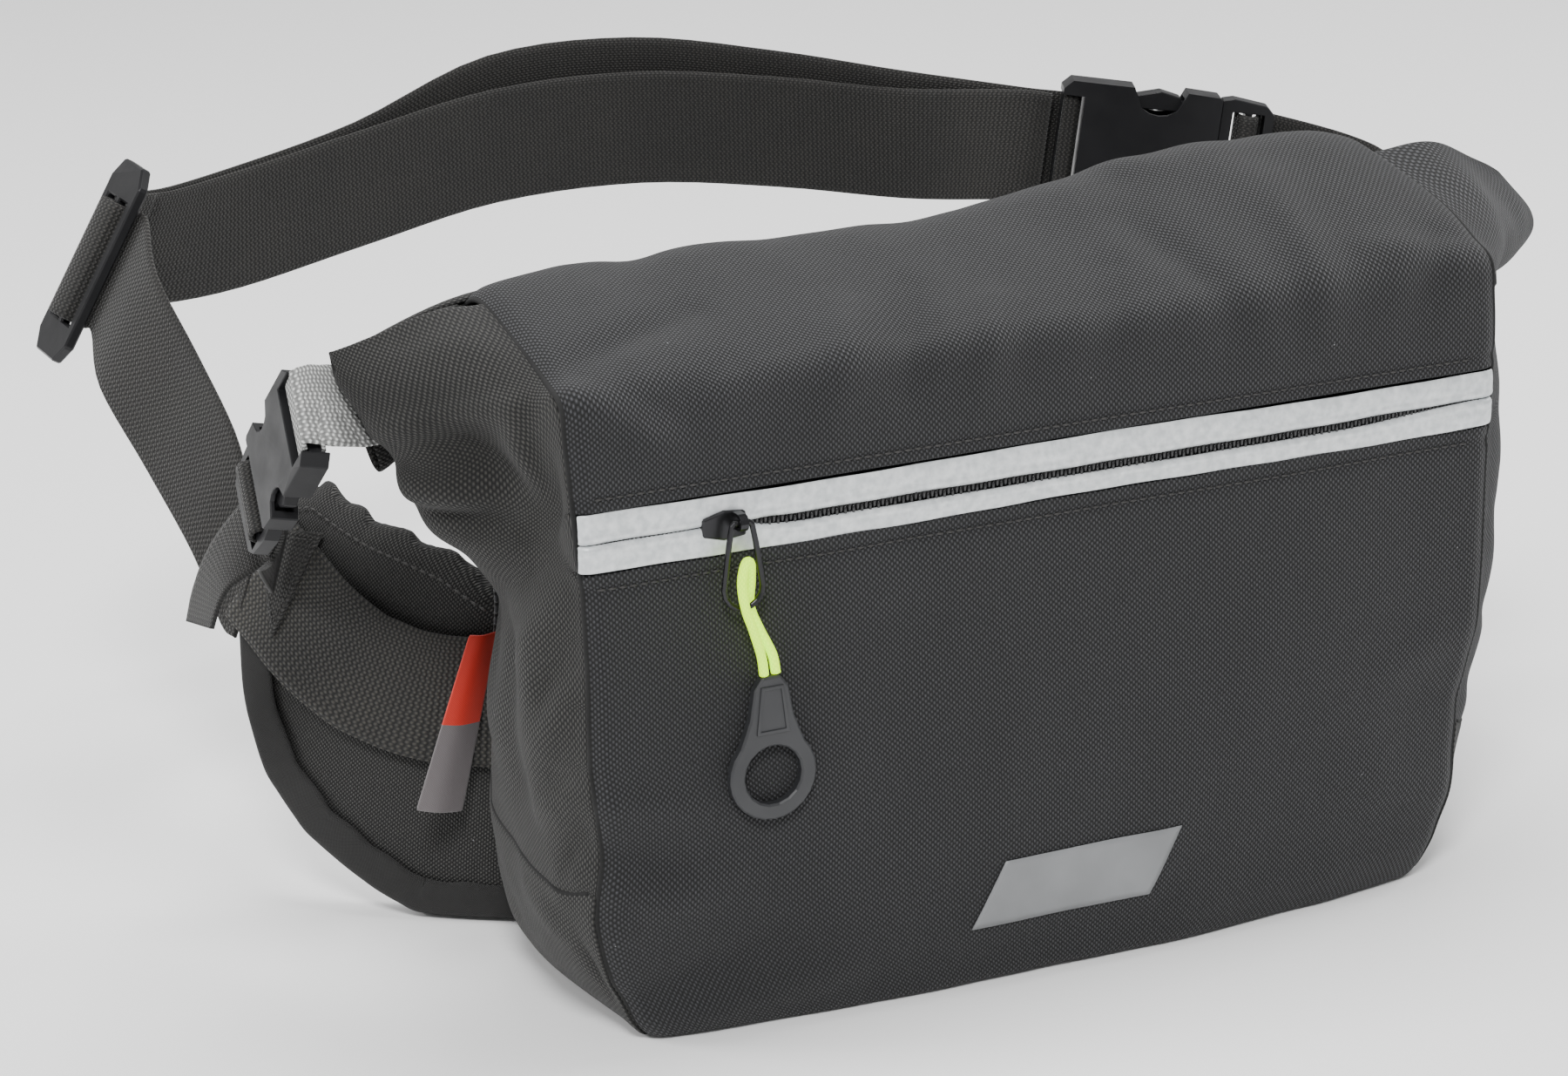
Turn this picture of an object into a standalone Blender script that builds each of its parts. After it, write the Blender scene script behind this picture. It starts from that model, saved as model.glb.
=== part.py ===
"""Roll-top waist bag: a soft box bag with a zipped front pocket, a rolled mouth held down by two
small side-release buckles, padded hip wings and an adjustable belt closed by a larger buckle.

Frame: +X to the right as the front is looked at, +Y towards the wearer, +Z up, in metres.
The origin is the centre of the bottom panel's underside.
Run with: blender --background --python part.py
"""

import math

import bmesh
import bpy
from mathutils import Matrix, Vector

# ---- Bag body ----
FABRIC = 0.0015
GAP = 0.0003
FRONT_LEVELS = [0.0, 0.012, 0.030, 0.070, 0.110, 0.1415]
# (height, Y of the front face) and (height, half width of the front)
FRONT_DEPTHS = [(0.0, -0.0480), (0.012, -0.0500), (0.030, -0.0520), (0.070, -0.0540)]
FRONT_DEPTHS += [(0.110, -0.0532), (0.160, -0.0520)]
HALF_WIDTHS = [(0.0, 0.1265), (0.012, 0.1360), (0.030, 0.1410), (0.060, 0.1430)]
HALF_WIDTHS += [(0.150, 0.1450), (0.190, 0.1470)]
# (Y, height) from the zip over the top to the crest
TOP_SLOPE = [(-0.0520, 0.1585), (-0.0505, 0.1760), (-0.0460, 0.1890), (-0.0320, 0.1970)]
TOP_SLOPE += [(-0.0120, 0.2030), (0.0050, 0.2065)]
TOP_HALF_WIDTH = 0.1470
CREST_BULGE = 0.0105
CREST_BULGE_X = 0.0980
CREST_BULGE_SPREAD = 0.0600
PANEL_COLUMNS = 13
PATCH_ENDS = (-0.026, 0.036)
# (Y, height, half width) from the padded back up to the crest
BACK_SLOPE = [(0.0500, 0.1486, 0.1325), (0.0400, 0.1630, 0.1380)]
BACK_SLOPE += [(0.0245, 0.1810, 0.1430), (0.0085, 0.2010, 0.1460)]
# Padded back: (name, inset of its edge, near Y, far Y, slot)
BACK_LAYERS = [
    ("back_panel", 0.0, 0.0495, 0.0510, "body_fabric"),
    ("back_foam", 0.004, 0.0513, 0.0562, "foam"),
    ("back_mesh", 0.0005, 0.0565, 0.0578, "body_fabric"),
]

# ---- Front pocket zip ----
ZIP_Z = 0.1500
ZIP_Y = -0.0520
ZIP_HALF = 0.1430
TAPE_WIDTH = 0.0067
COIL_HALF = 0.0012
SLIDER_X = -0.1040
SLIDER_TRAVEL_CLEARANCE = 0.0003
BAIL_AXIS_Y = -0.0590
BAIL_AXIS_Z = 0.1515
BAIL_LENGTH = 0.0245
BAIL_HALF_WIDTH = 0.0058
BAIL_WIRE = 0.0009
RING_CENTRE = (-0.0935, -0.0590, 0.0775)
RING_OUTER = 0.0132
RING_INNER = 0.0086
RING_THICK = 0.0034
NECK_TOP_Z = 0.1065
CORD_RADIUS = 0.00125

# ---- Rolled mouth ----
ROLL_LEFT = -0.1780
ROLL_RIGHT = 0.1800
ROLL_STRAIGHT = 0.1500
ROLL_MIDDLE, ROLL_END = (0.0290, 0.1890), (0.0227, 0.1752)
ROLL_DOWN, ROLL_OUT = (0.0, 0.61, -0.79), (0.0, 0.79, 0.61)
ROLL_END_DOWN, ROLL_END_OUT = (0.25, -0.14, -0.95), (0.0, 0.99, -0.14)
ROLL_HALF_FLAT = 0.0135
ROLL_FABRIC = 0.0014
ROLL_PITCH = 0.0019
ROLL_START_RADIUS = 0.0019
ROLL_TURNS = 1.5

# ---- Hip wings ----
WING_ROOT = (0.1360, 0.0592)
WING_LENGTH = 0.0850
WING_STEPS = 9
WING_PAD = 0.0090
WING_TURN = (math.radians(42.0), math.radians(60.0))
# (distance from the root, height) of the lower and upper edges
WING_BOTTOM = [(0.0, 0.0023), (0.012, 0.0025), (0.022, 0.0080), (0.032, 0.0145), (0.0456, 0.0240)]
WING_BOTTOM += [(0.062, 0.0405), (0.0745, 0.0605), (0.085, 0.0860)]
WING_TOP = [(0.0, 0.1085), (0.012, 0.1145), (0.028, 0.1185), (0.040, 0.1210), (0.052, 0.1245)]
WING_TOP += [(0.066, 0.1290), (0.076, 0.1260), (0.085, 0.1160)]
BINDING_FACE = 0.0110
BINDING_CLOTH = 0.0009

# ---- Webbing and belt ----
BELT_WIDTH = 0.0400
BELT_THICK = 0.0014
SIDE_WIDTH = 0.0250
SIDE_THICK = 0.0012

COLOURS = {
    "body_fabric": ((0.045, 0.047, 0.053), 0.85),
    "lining": ((0.10, 0.10, 0.11), 0.80),
    "foam": ((0.06, 0.06, 0.06), 0.95),
    "black_webbing": ((0.016, 0.014, 0.013), 0.75),
    "grey_webbing": ((0.56, 0.58, 0.56), 0.70),
    "reflective": ((0.62, 0.66, 0.68), 0.35),
    "coil": ((0.012, 0.012, 0.013), 0.45),
    "slider": ((0.03, 0.03, 0.032), 0.35),
    "neon_cord": ((0.62, 0.95, 0.03), 0.60),
    "ring_rubber": ((0.085, 0.086, 0.092), 0.65),
    "buckle": ((0.045, 0.045, 0.050), 0.45),
    "binding": ((0.014, 0.012, 0.010), 0.80),
    "label": ((0.72, 0.06, 0.02), 0.70),
    "board": ((0.20, 0.20, 0.21), 0.50),
}

BOX_FACES = ((0, 1, 3, 2), (4, 6, 7, 5), (0, 4, 5, 1), (2, 3, 7, 6), (0, 2, 6, 4), (1, 5, 7, 3))


# ---------------------------------------------------------------- helpers
def clear_scene():
    for obj in list(bpy.data.objects):
        bpy.data.objects.remove(obj, do_unlink=True)


def finish(name):
    """The Principled material of that name, made once."""
    made = bpy.data.materials.get(name)
    if made is None:
        made = bpy.data.materials.new(name)
        made.use_nodes = True
        shader = made.node_tree.nodes["Principled BSDF"]
        colour, roughness = COLOURS[name]
        shader.inputs["Base Color"].default_value = (*colour, 1.0)
        shader.inputs["Roughness"].default_value = roughness
        shader.inputs["Metallic"].default_value = 0.6 if name == "slider" else 0.0
        made.diffuse_color = (*colour, 1.0)
    return made


def add_mesh(name, points, faces, slot, smooth=False):
    """A closed mesh object, its faces turned outward."""
    mesh = bpy.data.meshes.new(name)
    shape = bmesh.new()
    corners = [shape.verts.new(point) for point in points]
    for face in faces:
        shape.faces.new([corners[index] for index in face])
    bmesh.ops.recalc_face_normals(shape, faces=shape.faces)
    shape.to_mesh(mesh)
    shape.free()
    if smooth:
        mesh.shade_smooth()
        mesh.set_sharp_from_angle(angle=math.radians(40))
    obj = bpy.data.objects.new(name, mesh)
    if slot:
        obj.data.materials.append(finish(slot))
    bpy.context.scene.collection.objects.link(obj)
    return obj


def slab(name, outer, inner, slot):
    """A closed solid between two matching grids of points."""
    rows, columns = len(outer), len(outer[0])
    points = [p for row in outer for p in row] + [p for row in inner for p in row]
    half = rows * columns
    faces = []
    for i in range(rows - 1):
        for j in range(columns - 1):
            a, b = i * columns + j, (i + 1) * columns + j
            faces.append((a, a + 1, b + 1, b))
            faces.append((half + a, half + b, half + b + 1, half + a + 1))
    rim = [i * columns for i in range(rows)]
    rim += [(rows - 1) * columns + j for j in range(1, columns)]
    rim += [i * columns + columns - 1 for i in range(rows - 2, -1, -1)]
    rim += [j for j in range(columns - 2, 0, -1)]
    for here, after in zip(rim, rim[1:] + rim[:1]):
        faces.append((here, after, half + after, half + here))
    return add_mesh(name, points, faces, slot, smooth=True)


def grid_normals(grid):
    """The unit normal at each point of a grid."""
    rows, columns = len(grid), len(grid[0])
    normals = []
    for i in range(rows):
        line = []
        for j in range(columns):
            down = Vector(grid[min(i + 1, rows - 1)][j]) - Vector(grid[max(i - 1, 0)][j])
            along = Vector(grid[i][min(j + 1, columns - 1)]) - Vector(grid[i][max(j - 1, 0)])
            line.append(along.cross(down).normalized())
        normals.append(line)
    return normals


def shell(name, grid, thickness, slot, inward=1.0):
    """A cloth panel: the grid is its outer face, and the other face lies a thickness behind it."""
    normals = grid_normals(grid)
    inner = [
        [Vector(p) - n * thickness * inward for p, n in zip(row, line)]
        for row, line in zip(grid, normals)
    ]
    return slab(name, [[Vector(p) for p in row] for row in grid], inner, slot)


def ribbon(name, stations, width, thickness, slot):
    """Webbing: each station is (centre, direction across the web)."""
    outer, inner = [], []
    for index, (centre, across) in enumerate(stations):
        before = Vector(stations[max(index - 1, 0)][0])
        after = Vector(stations[min(index + 1, len(stations) - 1)][0])
        across = Vector(across).normalized()
        normal = (after - before).cross(across).normalized()
        half = across * width / 2
        lift = normal * thickness / 2
        outer.append([Vector(centre) - half + lift, Vector(centre) + half + lift])
        inner.append([Vector(centre) - half - lift, Vector(centre) + half - lift])
    return slab(name, outer, inner, slot)


def plate(name, outline, low, high, slot, frame=None, bevel=0.0):
    """An outline in local XY, extruded from low to high along local Z."""
    count = len(outline)
    points = [(x, y, low) for x, y in outline] + [(x, y, high) for x, y in outline]
    faces = [tuple(range(count)), tuple(range(count, 2 * count))]
    for index in range(count):
        after = (index + 1) % count
        faces.append((index, after, count + after, count + index))
    obj = add_mesh(name, points, faces, slot)
    if frame is not None:
        obj.matrix_world = frame
    if bevel:
        edge = obj.modifiers.new("edges", "BEVEL")
        edge.width = bevel
        edge.segments = 1
        edge.limit_method = "ANGLE"
    return obj


def blocks(name, boxes, frame):
    """A hidden cutter of separate boxes, each (low corner, high corner)."""
    points, faces = [], []
    for low, high in boxes:
        start = len(points)
        for x in (low[0], high[0]):
            for y in (low[1], high[1]):
                for z in (low[2], high[2]):
                    points.append((x, y, z))
        for face in BOX_FACES:
            faces.append(tuple(start + index for index in face))
    cutter = add_mesh(name, points, faces, None)
    cutter.matrix_world = frame
    return hide_cutter(cutter)


def hide_cutter(cutter):
    cutter.hide_render = True
    cutter.display_type = "WIRE"
    return cutter


def cut(obj, cutter, first=False):
    """Subtracts the cutter, before any bevel where first is set."""
    boolean = obj.modifiers.new("cut", "BOOLEAN")
    boolean.object = cutter
    boolean.operation = "DIFFERENCE"
    boolean.solver = "EXACT"
    if first:
        obj.modifiers.move(len(obj.modifiers) - 1, 0)


def along(table, value):
    """Linear reading of a short table of (position, value)."""
    if value <= table[0][0]:
        return table[0][1]
    for (low, a), (high, b) in zip(table, table[1:]):
        if value <= high:
            return a + (b - a) * (value - low) / (high - low)
    return table[-1][1]


def ease(value):
    value = min(max(value, 0.0), 1.0)
    return value * value * (3.0 - 2.0 * value)


def smooth_route(points, steps):
    """Points of a Catmull-Rom curve through the given points."""
    knots = [Vector(p) for p in points]
    knots = [2 * knots[0] - knots[1], *knots, 2 * knots[-1] - knots[-2]]
    route = []
    for k in range(1, len(knots) - 2):
        a, b, c, d = knots[k - 1 : k + 3]
        for step in range(steps):
            t = step / steps
            bend = (2 * a - 5 * b + 4 * c - d) * t**2 + (3 * b - a - 3 * c + d) * t**3
            route.append(0.5 * (2 * b + (c - a) * t + bend))
    route.append(knots[-2])
    return route


def smooth_web(stations, steps):
    """Smooth stations through a few (centre, across) pairs."""
    centres = smooth_route([s[0] for s in stations], steps)
    acrosses = smooth_route([s[1] for s in stations], steps)
    return list(zip(centres, acrosses))


def local_frame(origin, axis, across):
    """Matrix with local X along axis, local Y across it, and local Z their normal."""
    x = Vector(axis).normalized()
    y = Vector(across)
    y = (y - x * y.dot(x)).normalized()
    z = x.cross(y)
    turned = Matrix((x, y, z)).transposed().to_4x4()
    return Matrix.Translation(Vector(origin)) @ turned


# ---------------------------------------------------------------- bag body
def half_width(z):
    return along(HALF_WIDTHS, z)


def front_point(x, z, out=0.0):
    return (x, along(FRONT_DEPTHS, z) - out, z)


def crest_rise(x):
    """How much the top of the bag stands above its mean line."""
    return CREST_BULGE * math.exp(-(((x - CREST_BULGE_X) / CREST_BULGE_SPREAD) ** 2))


def spread(half, count):
    return [half * (2 * j / (count - 1) - 1) for j in range(count)]


def front_panels():
    lower = [[front_point(x, z) for x in spread(half_width(z), 7)] for z in FRONT_LEVELS]
    shell("front_panel_lower", lower, FABRIC, "body_fabric")
    upper = []
    for index, (y, z) in enumerate(TOP_SLOPE):
        share = max(index - 1, 0) / (len(TOP_SLOPE) - 2)
        half = half_width(z) if z < 0.18 else TOP_HALF_WIDTH
        upper.append([(x, y, z + crest_rise(x) * share) for x in spread(half, PANEL_COLUMNS)])
    shell("front_panel_upper", upper, FABRIC, "body_fabric")


def flat_strip(name, low_z, high_z, out, thickness, slot, half=ZIP_HALF):
    outer = [[(x, ZIP_Y - out, z) for x in (-half, half)] for z in (low_z, high_z)]
    inner = [[(x, ZIP_Y - out + thickness, z) for x in (-half, half)] for z in (low_z, high_z)]
    return slab(name, outer, inner, slot)


def zip_parts():
    edge = ZIP_Z + COIL_HALF + GAP
    flat_strip("zip_tape_upper", edge, edge + TAPE_WIDTH, 0.0003, 0.0012, "reflective")
    edge = ZIP_Z - COIL_HALF - GAP
    flat_strip("zip_tape_lower", edge - TAPE_WIDTH, edge, 0.0003, 0.0012, "reflective")
    flat_strip("zip_coil", ZIP_Z - COIL_HALF, ZIP_Z + COIL_HALF, 0.0008, 0.0020, "coil")


def slider():
    face = ZIP_Y - 0.0008 - SLIDER_TRAVEL_CLEARANCE
    frame = local_frame((SLIDER_X, face, ZIP_Z), (1, 0, 0), (0, 0, 1))
    nose, tail, shoulder = 0.0025, 0.0035, 0.0042
    outline = [(-0.0065, -nose), (0.0, -shoulder), (0.0065, -tail)]
    outline += [(x, -z) for x, z in reversed(outline)]
    plate("zip_slider", outline, 0.0, 0.0022, "slider", frame, bevel=0.0004)
    # The bridge is an arch in the YZ plane that keeps the bail on the slider.
    start = face - 0.0022 - GAP
    reach = start - BAIL_AXIS_Y
    arch = []
    for radius, angles in ((0.0024, range(-90, 91, 30)), (0.0014, range(90, -91, -30))):
        for angle in angles:
            turn = math.radians(angle)
            arch.append((reach + radius * math.cos(turn), radius * math.sin(turn)))
        if radius > 0.002:
            arch.append((0.0, radius))
            arch.append((0.0, 0.0014))
    arch += [(0.0, -0.0014), (0.0, -0.0024)]
    frame = local_frame((SLIDER_X + 0.0034, start, BAIL_AXIS_Z), (0, -1, 0), (0, 0, 1))
    plate("slider_bridge", arch, -0.0012, 0.0012, "slider", frame)


def bail_outline():
    """Teardrop loop of the bail: narrow at the bridge, round at the bottom, measured down from its axis."""
    points = []
    for step in range(9):
        turn = math.radians(-22.5 * step)
        radius = BAIL_HALF_WIDTH
        points.append((radius * math.cos(turn), -(BAIL_LENGTH - radius) + radius * math.sin(turn)))
    right = [(0.0022, 0.0), (0.0030, -0.0008), (0.0040, -0.0060)]
    return points + [(-x, z) for x, z in reversed(right)] + right


def tube(name, points, radius, resolution, slot, origin, closed):
    """A round wire or cord through the points, which are measured from its origin."""
    curve = bpy.data.curves.new(name, "CURVE")
    curve.dimensions = "3D"
    curve.bevel_depth = radius
    curve.bevel_resolution = resolution
    curve.use_fill_caps = not closed
    spline = curve.splines.new("POLY")
    spline.points.add(len(points) - 1)
    spline.use_cyclic_u = closed
    for knot, point in zip(spline.points, points):
        knot.co = (*point, 1.0)
    curve.materials.append(finish(slot))
    obj = bpy.data.objects.new(name, curve)
    obj.location = origin
    bpy.context.scene.collection.objects.link(obj)
    return obj


def pull_parts():
    bail_origin = (SLIDER_X + 0.0034, BAIL_AXIS_Y, BAIL_AXIS_Z)
    loop = [(x, 0.0, z) for x, z in bail_outline()]
    tube("pull_bail", loop, BAIL_WIRE, 1, "slider", bail_origin, closed=True)
    # The cord starts in one side of the ring's neck, hooks through the bail and comes back to the other.
    hook_z = BAIL_AXIS_Z - BAIL_LENGTH
    route = [
        (-0.0952, -0.0592, NECK_TOP_Z + 0.0004),
        (-0.0962, -0.0600, NECK_TOP_Z + 0.0060),
        (-0.0990, -0.0612, hook_z - 0.0060),
        (-0.1015, -0.0619, hook_z + 0.0010),
        (-0.1022, -0.0616, hook_z + 0.0080),
        (-0.1006, -0.0606, hook_z + 0.0130),
        (-0.0984, -0.0590, hook_z + 0.0125),
        (-0.0974, -0.0568, hook_z + 0.0070),
        (-0.0976, -0.0562, hook_z - 0.0005),
        (-0.0955, -0.0570, hook_z - 0.0070),
        (-0.0925, -0.0588, NECK_TOP_Z + 0.0060),
        (-0.0916, -0.0592, NECK_TOP_Z + 0.0004),
    ]
    tube("pull_cord", smooth_route(route, 3), CORD_RADIUS, 2, "neon_cord", (0.0, 0.0, 0.0), closed=False)
    ring_pull()


def ring_pull():
    """Flat rubber pull: a finger ring with a tapering neck above it."""
    x0, y0, z0 = RING_CENTRE
    neck_half, neck_top = 0.0052, NECK_TOP_Z - z0
    flare = [(0.0082, 0.0128), (0.0066, 0.0172)]
    outline = []
    for step in range(19):
        turn = math.radians(42 - 264 * step / 18)
        outline.append((RING_OUTER * math.cos(turn), RING_OUTER * math.sin(turn)))
    outline += [(-x, z) for x, z in flare]
    outline += [(-neck_half, neck_top - 0.0035), (-neck_half + 0.0025, neck_top)]
    outline += [(neck_half - 0.0025, neck_top), (neck_half, neck_top - 0.0035)] + flare[::-1]
    frame = local_frame((x0, y0, z0), (1, 0, 0), (0, 0, 1))
    ring = plate("ring_pull", outline, -RING_THICK / 2, RING_THICK / 2, "ring_rubber", frame, bevel=0.0006)
    turns = [math.radians(20 * step) for step in range(18)]
    hole = [(RING_INNER * math.cos(turn), RING_INNER * math.sin(turn)) for turn in turns]
    cut(ring, hide_cutter(plate("ring_hole_cutter", hole, -0.01, 0.01, None, frame)), first=True)


def front_patch():
    """Blank printed band low on the front, its ends slanting."""
    faces = ([], [])
    for z, lean in ((0.019, 0.0), (0.030, 0.003), (0.036, 0.005)):
        for face, out in zip(faces, (0.0008, GAP)):
            face.append([front_point(x + lean, z, out) for x in PATCH_ENDS])
    slab("front_patch", faces[0], faces[1], "reflective")


def gusset_rows():
    """Front seam, outer fold and back seam of the left gusset, from the bottom up to the mouth."""
    return [
        ((-0.1262, -0.0460, 0.0024), (-0.1290, 0.000, 0.0024), (-0.1262, 0.0488, 0.0024), 0.000),
        ((-0.1365, -0.0488, 0.0180), (-0.1420, 0.000, 0.0180), (-0.1275, 0.0488, 0.0200), 0.003),
        ((-0.1415, -0.0510, 0.0500), (-0.1480, 0.000, 0.0550), (-0.1345, 0.0488, 0.0550), 0.004),
        ((-0.1425, -0.0512, 0.0950), (-0.1490, 0.002, 0.1000), (-0.1280, 0.0488, 0.1000), 0.003),
        ((-0.1435, -0.0498, 0.1400), (-0.1590, 0.003, 0.1380), (-0.1320, 0.0480, 0.1300), 0.004),
        ((-0.1455, -0.0455, 0.1780), (-0.1710, -0.004, 0.1600), (-0.1380, 0.0380, 0.1580), 0.002),
        ((-0.1460, -0.0300, 0.1935), (-0.1800, -0.003, 0.1765), (-0.1430, 0.0255, 0.1760), 0.000),
        ((-0.1460, -0.0060, 0.2015), (-0.1890, 0.000, 0.1925), (-0.1460, 0.0075, 0.1990), 0.000),
    ]


def side_gussets():
    for side, name in ((1, "side_gusset_left"), (-1, "side_gusset_right")):
        stretch = 0.0 if side > 0 else 0.006
        grid = []
        for level, (front, fold, back, puff) in enumerate(gusset_rows()):
            front, fold, back = Vector(front), Vector(fold), Vector(back)
            fold.x -= stretch * level / 7
            line = []
            for step in range(7):
                share = step / 3
                point = front.lerp(fold, share) if step <= 3 else fold.lerp(back, share - 1)
                point.x -= puff * (0.0, 1.5, 1.0, 0.0, 0.8, 0.8, 0.0)[step]
                line.append((point.x * side, point.y, point.z))
            grid.append(line)
        shell(name, grid, 0.0013, "body_fabric", inward=-side)


def bottom_parts():
    outline = [(-0.1255, -0.0458), (0.1255, -0.0458), (0.1255, 0.0490), (-0.1255, 0.0490)]
    plate("bottom_panel", outline, 0.0, 0.0018, "body_fabric")
    outline = [(-0.1180, -0.0400), (0.1180, -0.0400), (0.1180, 0.0450), (-0.1180, 0.0450)]
    plate("base_board", outline, 0.0024, 0.0040, "board")


def back_outline(inset):
    """Half outline of the padded back, mirrored about the middle."""
    right = [(0.1240, inset), (0.1300, 0.0200), (0.1345, 0.0550), (0.1300, 0.1000)]
    right = [(x - inset, z) for x, z in right + [(0.1330, 0.1480 - inset)]]
    return right + [(-x, z) for x, z in reversed(right)]


def back_parts():
    turned = Matrix.Rotation(math.radians(90), 4, "X")
    for name, inset, near, far, slot in BACK_LAYERS:
        plate(name, back_outline(inset), -far, -near, slot, turned)
    grid = []
    for index, (y, z, half) in enumerate(BACK_SLOPE):
        rise = index / (len(BACK_SLOPE) - 1)
        grid.append([(x, y, z + crest_rise(x) * rise) for x in spread(half, PANEL_COLUMNS)])
    shell("back_upper", grid, 0.0012, "body_fabric", inward=-1.0)


def pocket_wall():
    levels = (0.0030, 0.030, 0.180)
    outer = [[(x, -0.0440, z) for x in spread(half_width(z) - 0.0045, 2)] for z in levels]
    inner = [[(x, -0.0430, z) for x in spread(half_width(z) - 0.0045, 2)] for z in levels]
    slab("pocket_wall", outer, inner, "lining")


def rounded_rectangle(half_x, low_y, high_y, radius, z):
    ring = []
    corners = ((half_x, high_y, 0), (-half_x, high_y, 90), (-half_x, low_y, 180), (half_x, low_y, 270))
    for x, y, start in corners:
        cx = x - math.copysign(radius, x)
        cy = y - radius if y == high_y else y + radius
        for step in range(4):
            turn = math.radians(start + 30 * step)
            ring.append((cx + radius * math.cos(turn), cy + radius * math.sin(turn), z))
    return ring


def inner_liner():
    """Waterproof inner bag: a thin cup, open at the top."""
    cloth = 0.0006
    rings = [
        rounded_rectangle(0.1170, -0.0410, 0.0470, 0.016, 0.0044),
        rounded_rectangle(0.1190, -0.0415, 0.0480, 0.016, 0.1460),
        rounded_rectangle(0.1190 - cloth, -0.0415 + cloth, 0.0480 - cloth, 0.0154, 0.1460),
        rounded_rectangle(0.1170 - cloth, -0.0410 + cloth, 0.0470 - cloth, 0.0154, 0.0044 + cloth),
    ]
    count = len(rings[0])
    faces = [tuple(range(count)), tuple(range(3 * count, 4 * count))]
    for level in range(3):
        for index in range(count):
            after = (index + 1) % count
            low, high = level * count, (level + 1) * count
            faces.append((low + index, low + after, high + after, high + index))
    add_mesh("inner_liner", [p for ring in rings for p in ring], faces, "lining")


# ---------------------------------------------------------------- rolled mouth
def roll_frame(x):
    """Centre, width direction and thickness direction of the rolled packet at x."""
    end = ROLL_RIGHT if x > 0 else -ROLL_LEFT
    twist = ease((abs(x) - ROLL_STRAIGHT) / (end + 0.008 - ROLL_STRAIGHT))
    side = 1.0 if x > 0 else -1.0
    rise = crest_rise(x) * (1.0 - twist)
    middle = Vector((x, ROLL_MIDDLE[0], ROLL_MIDDLE[1] + rise))
    centre = middle.lerp(Vector((x, ROLL_END[0], ROLL_END[1])), twist)
    end_down = Vector((-side * ROLL_END_DOWN[0], ROLL_END_DOWN[1], ROLL_END_DOWN[2]))
    down = Vector(ROLL_DOWN).lerp(end_down, twist).normalized()
    out = Vector(ROLL_OUT).lerp(Vector(ROLL_END_OUT), twist)
    out = (out - down * out.dot(down)).normalized()
    return centre, down, out


def spiral_section():
    """Centre line of the rolled cloth, as (width, thickness) pairs from the inside out."""
    points = []
    steps = int(ROLL_TURNS * 12)
    for step in range(steps + 1):
        turn = 2 * math.pi * step / 12
        radius = ROLL_START_RADIUS + ROLL_PITCH * turn / (2 * math.pi)
        flat = ROLL_HALF_FLAT if math.cos(turn) >= -1e-9 else -ROLL_HALF_FLAT
        if abs(math.cos(turn)) < 1e-9:
            rising = math.sin(turn) > 0
            pair = (ROLL_HALF_FLAT, -ROLL_HALF_FLAT) if rising else (-ROLL_HALF_FLAT, ROLL_HALF_FLAT)
            points += [(side, radius * math.sin(turn)) for side in pair]
        else:
            points.append((flat + radius * math.cos(turn), radius * math.sin(turn)))
    return points


def offset_line(points, distance):
    moved = []
    for index, point in enumerate(points):
        before = Vector(points[max(index - 1, 0)])
        after = Vector(points[min(index + 1, len(points) - 1)])
        run = (after - before).normalized()
        moved.append((point[0] - run.y * distance, point[1] + run.x * distance))
    return moved


def roll_parts():
    centre_line = spiral_section()
    sides = (offset_line(centre_line, ROLL_FABRIC / 2), offset_line(centre_line, -ROLL_FABRIC / 2))
    stations = [ROLL_LEFT + (ROLL_RIGHT - ROLL_LEFT) * k / 16 for k in range(17)]
    grids = [[], []]
    strip = [[], []]
    for x in stations:
        centre, down, out = roll_frame(x)
        for grid, line in zip(grids, sides):
            grid.append([centre + down * w + out * t for w, t in line])
        for layer, t in zip(strip, (-0.0006, 0.0006)):
            layer.append([centre + down * w + out * t for w in (-0.0125, 0.0125)])
    slab("roll_top", grids[0], grids[1], "body_fabric")
    slab("mouth_stiffener", strip[0][1:-1], strip[1][1:-1], "board")


# ---------------------------------------------------------------- hip wings
def wing_point(side, s, z, out):
    """A point of a hip wing: s along it from the root, z up, out from its outer face."""
    steps = 12
    x, y = WING_ROOT
    for step in range(steps):
        share = (step + 0.5) / steps
        turn = WING_TURN[0] + (WING_TURN[1] - WING_TURN[0]) * min(share * s / WING_LENGTH, 1.2)
        x += s / steps * math.cos(turn)
        y += s / steps * math.sin(turn)
    turn = WING_TURN[0] + (WING_TURN[1] - WING_TURN[0]) * min(s / WING_LENGTH, 1.2)
    lean = 0.10 + 0.25 * s / WING_LENGTH
    x += out * math.sin(turn) - lean * (z - 0.070)
    y -= out * math.cos(turn)
    return Vector((side * x, y, z + out * lean))


def wing_parts():
    for side, name in ((-1, "left"), (1, "right")):
        stretches = [WING_LENGTH * k / WING_STEPS for k in range(WING_STEPS + 1)]
        faces = ([], [])
        for s in stretches:
            low, high = along(WING_BOTTOM, s), along(WING_TOP, s)
            for face, out in zip(faces, (0.0, -WING_PAD)):
                face.append([wing_point(side, s, low + (high - low) * k / 4, out) for k in range(5)])
        slab("wing_pad_" + name, faces[0], faces[1], "body_fabric")
        wing_binding(side, name)
        web = ([], [])
        for k in range(7):
            s = 0.012 + 0.069 * k / 6
            middle = 0.070 + 0.025 * k / 6
            for face, out in zip(web, (0.0034, 0.0020)):
                face.append([wing_point(side, s, middle + v * BELT_WIDTH / 2, out) for v in (-1, 0, 1)])
        slab("wing_webbing_" + name, web[0], web[1], "black_webbing")


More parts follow.
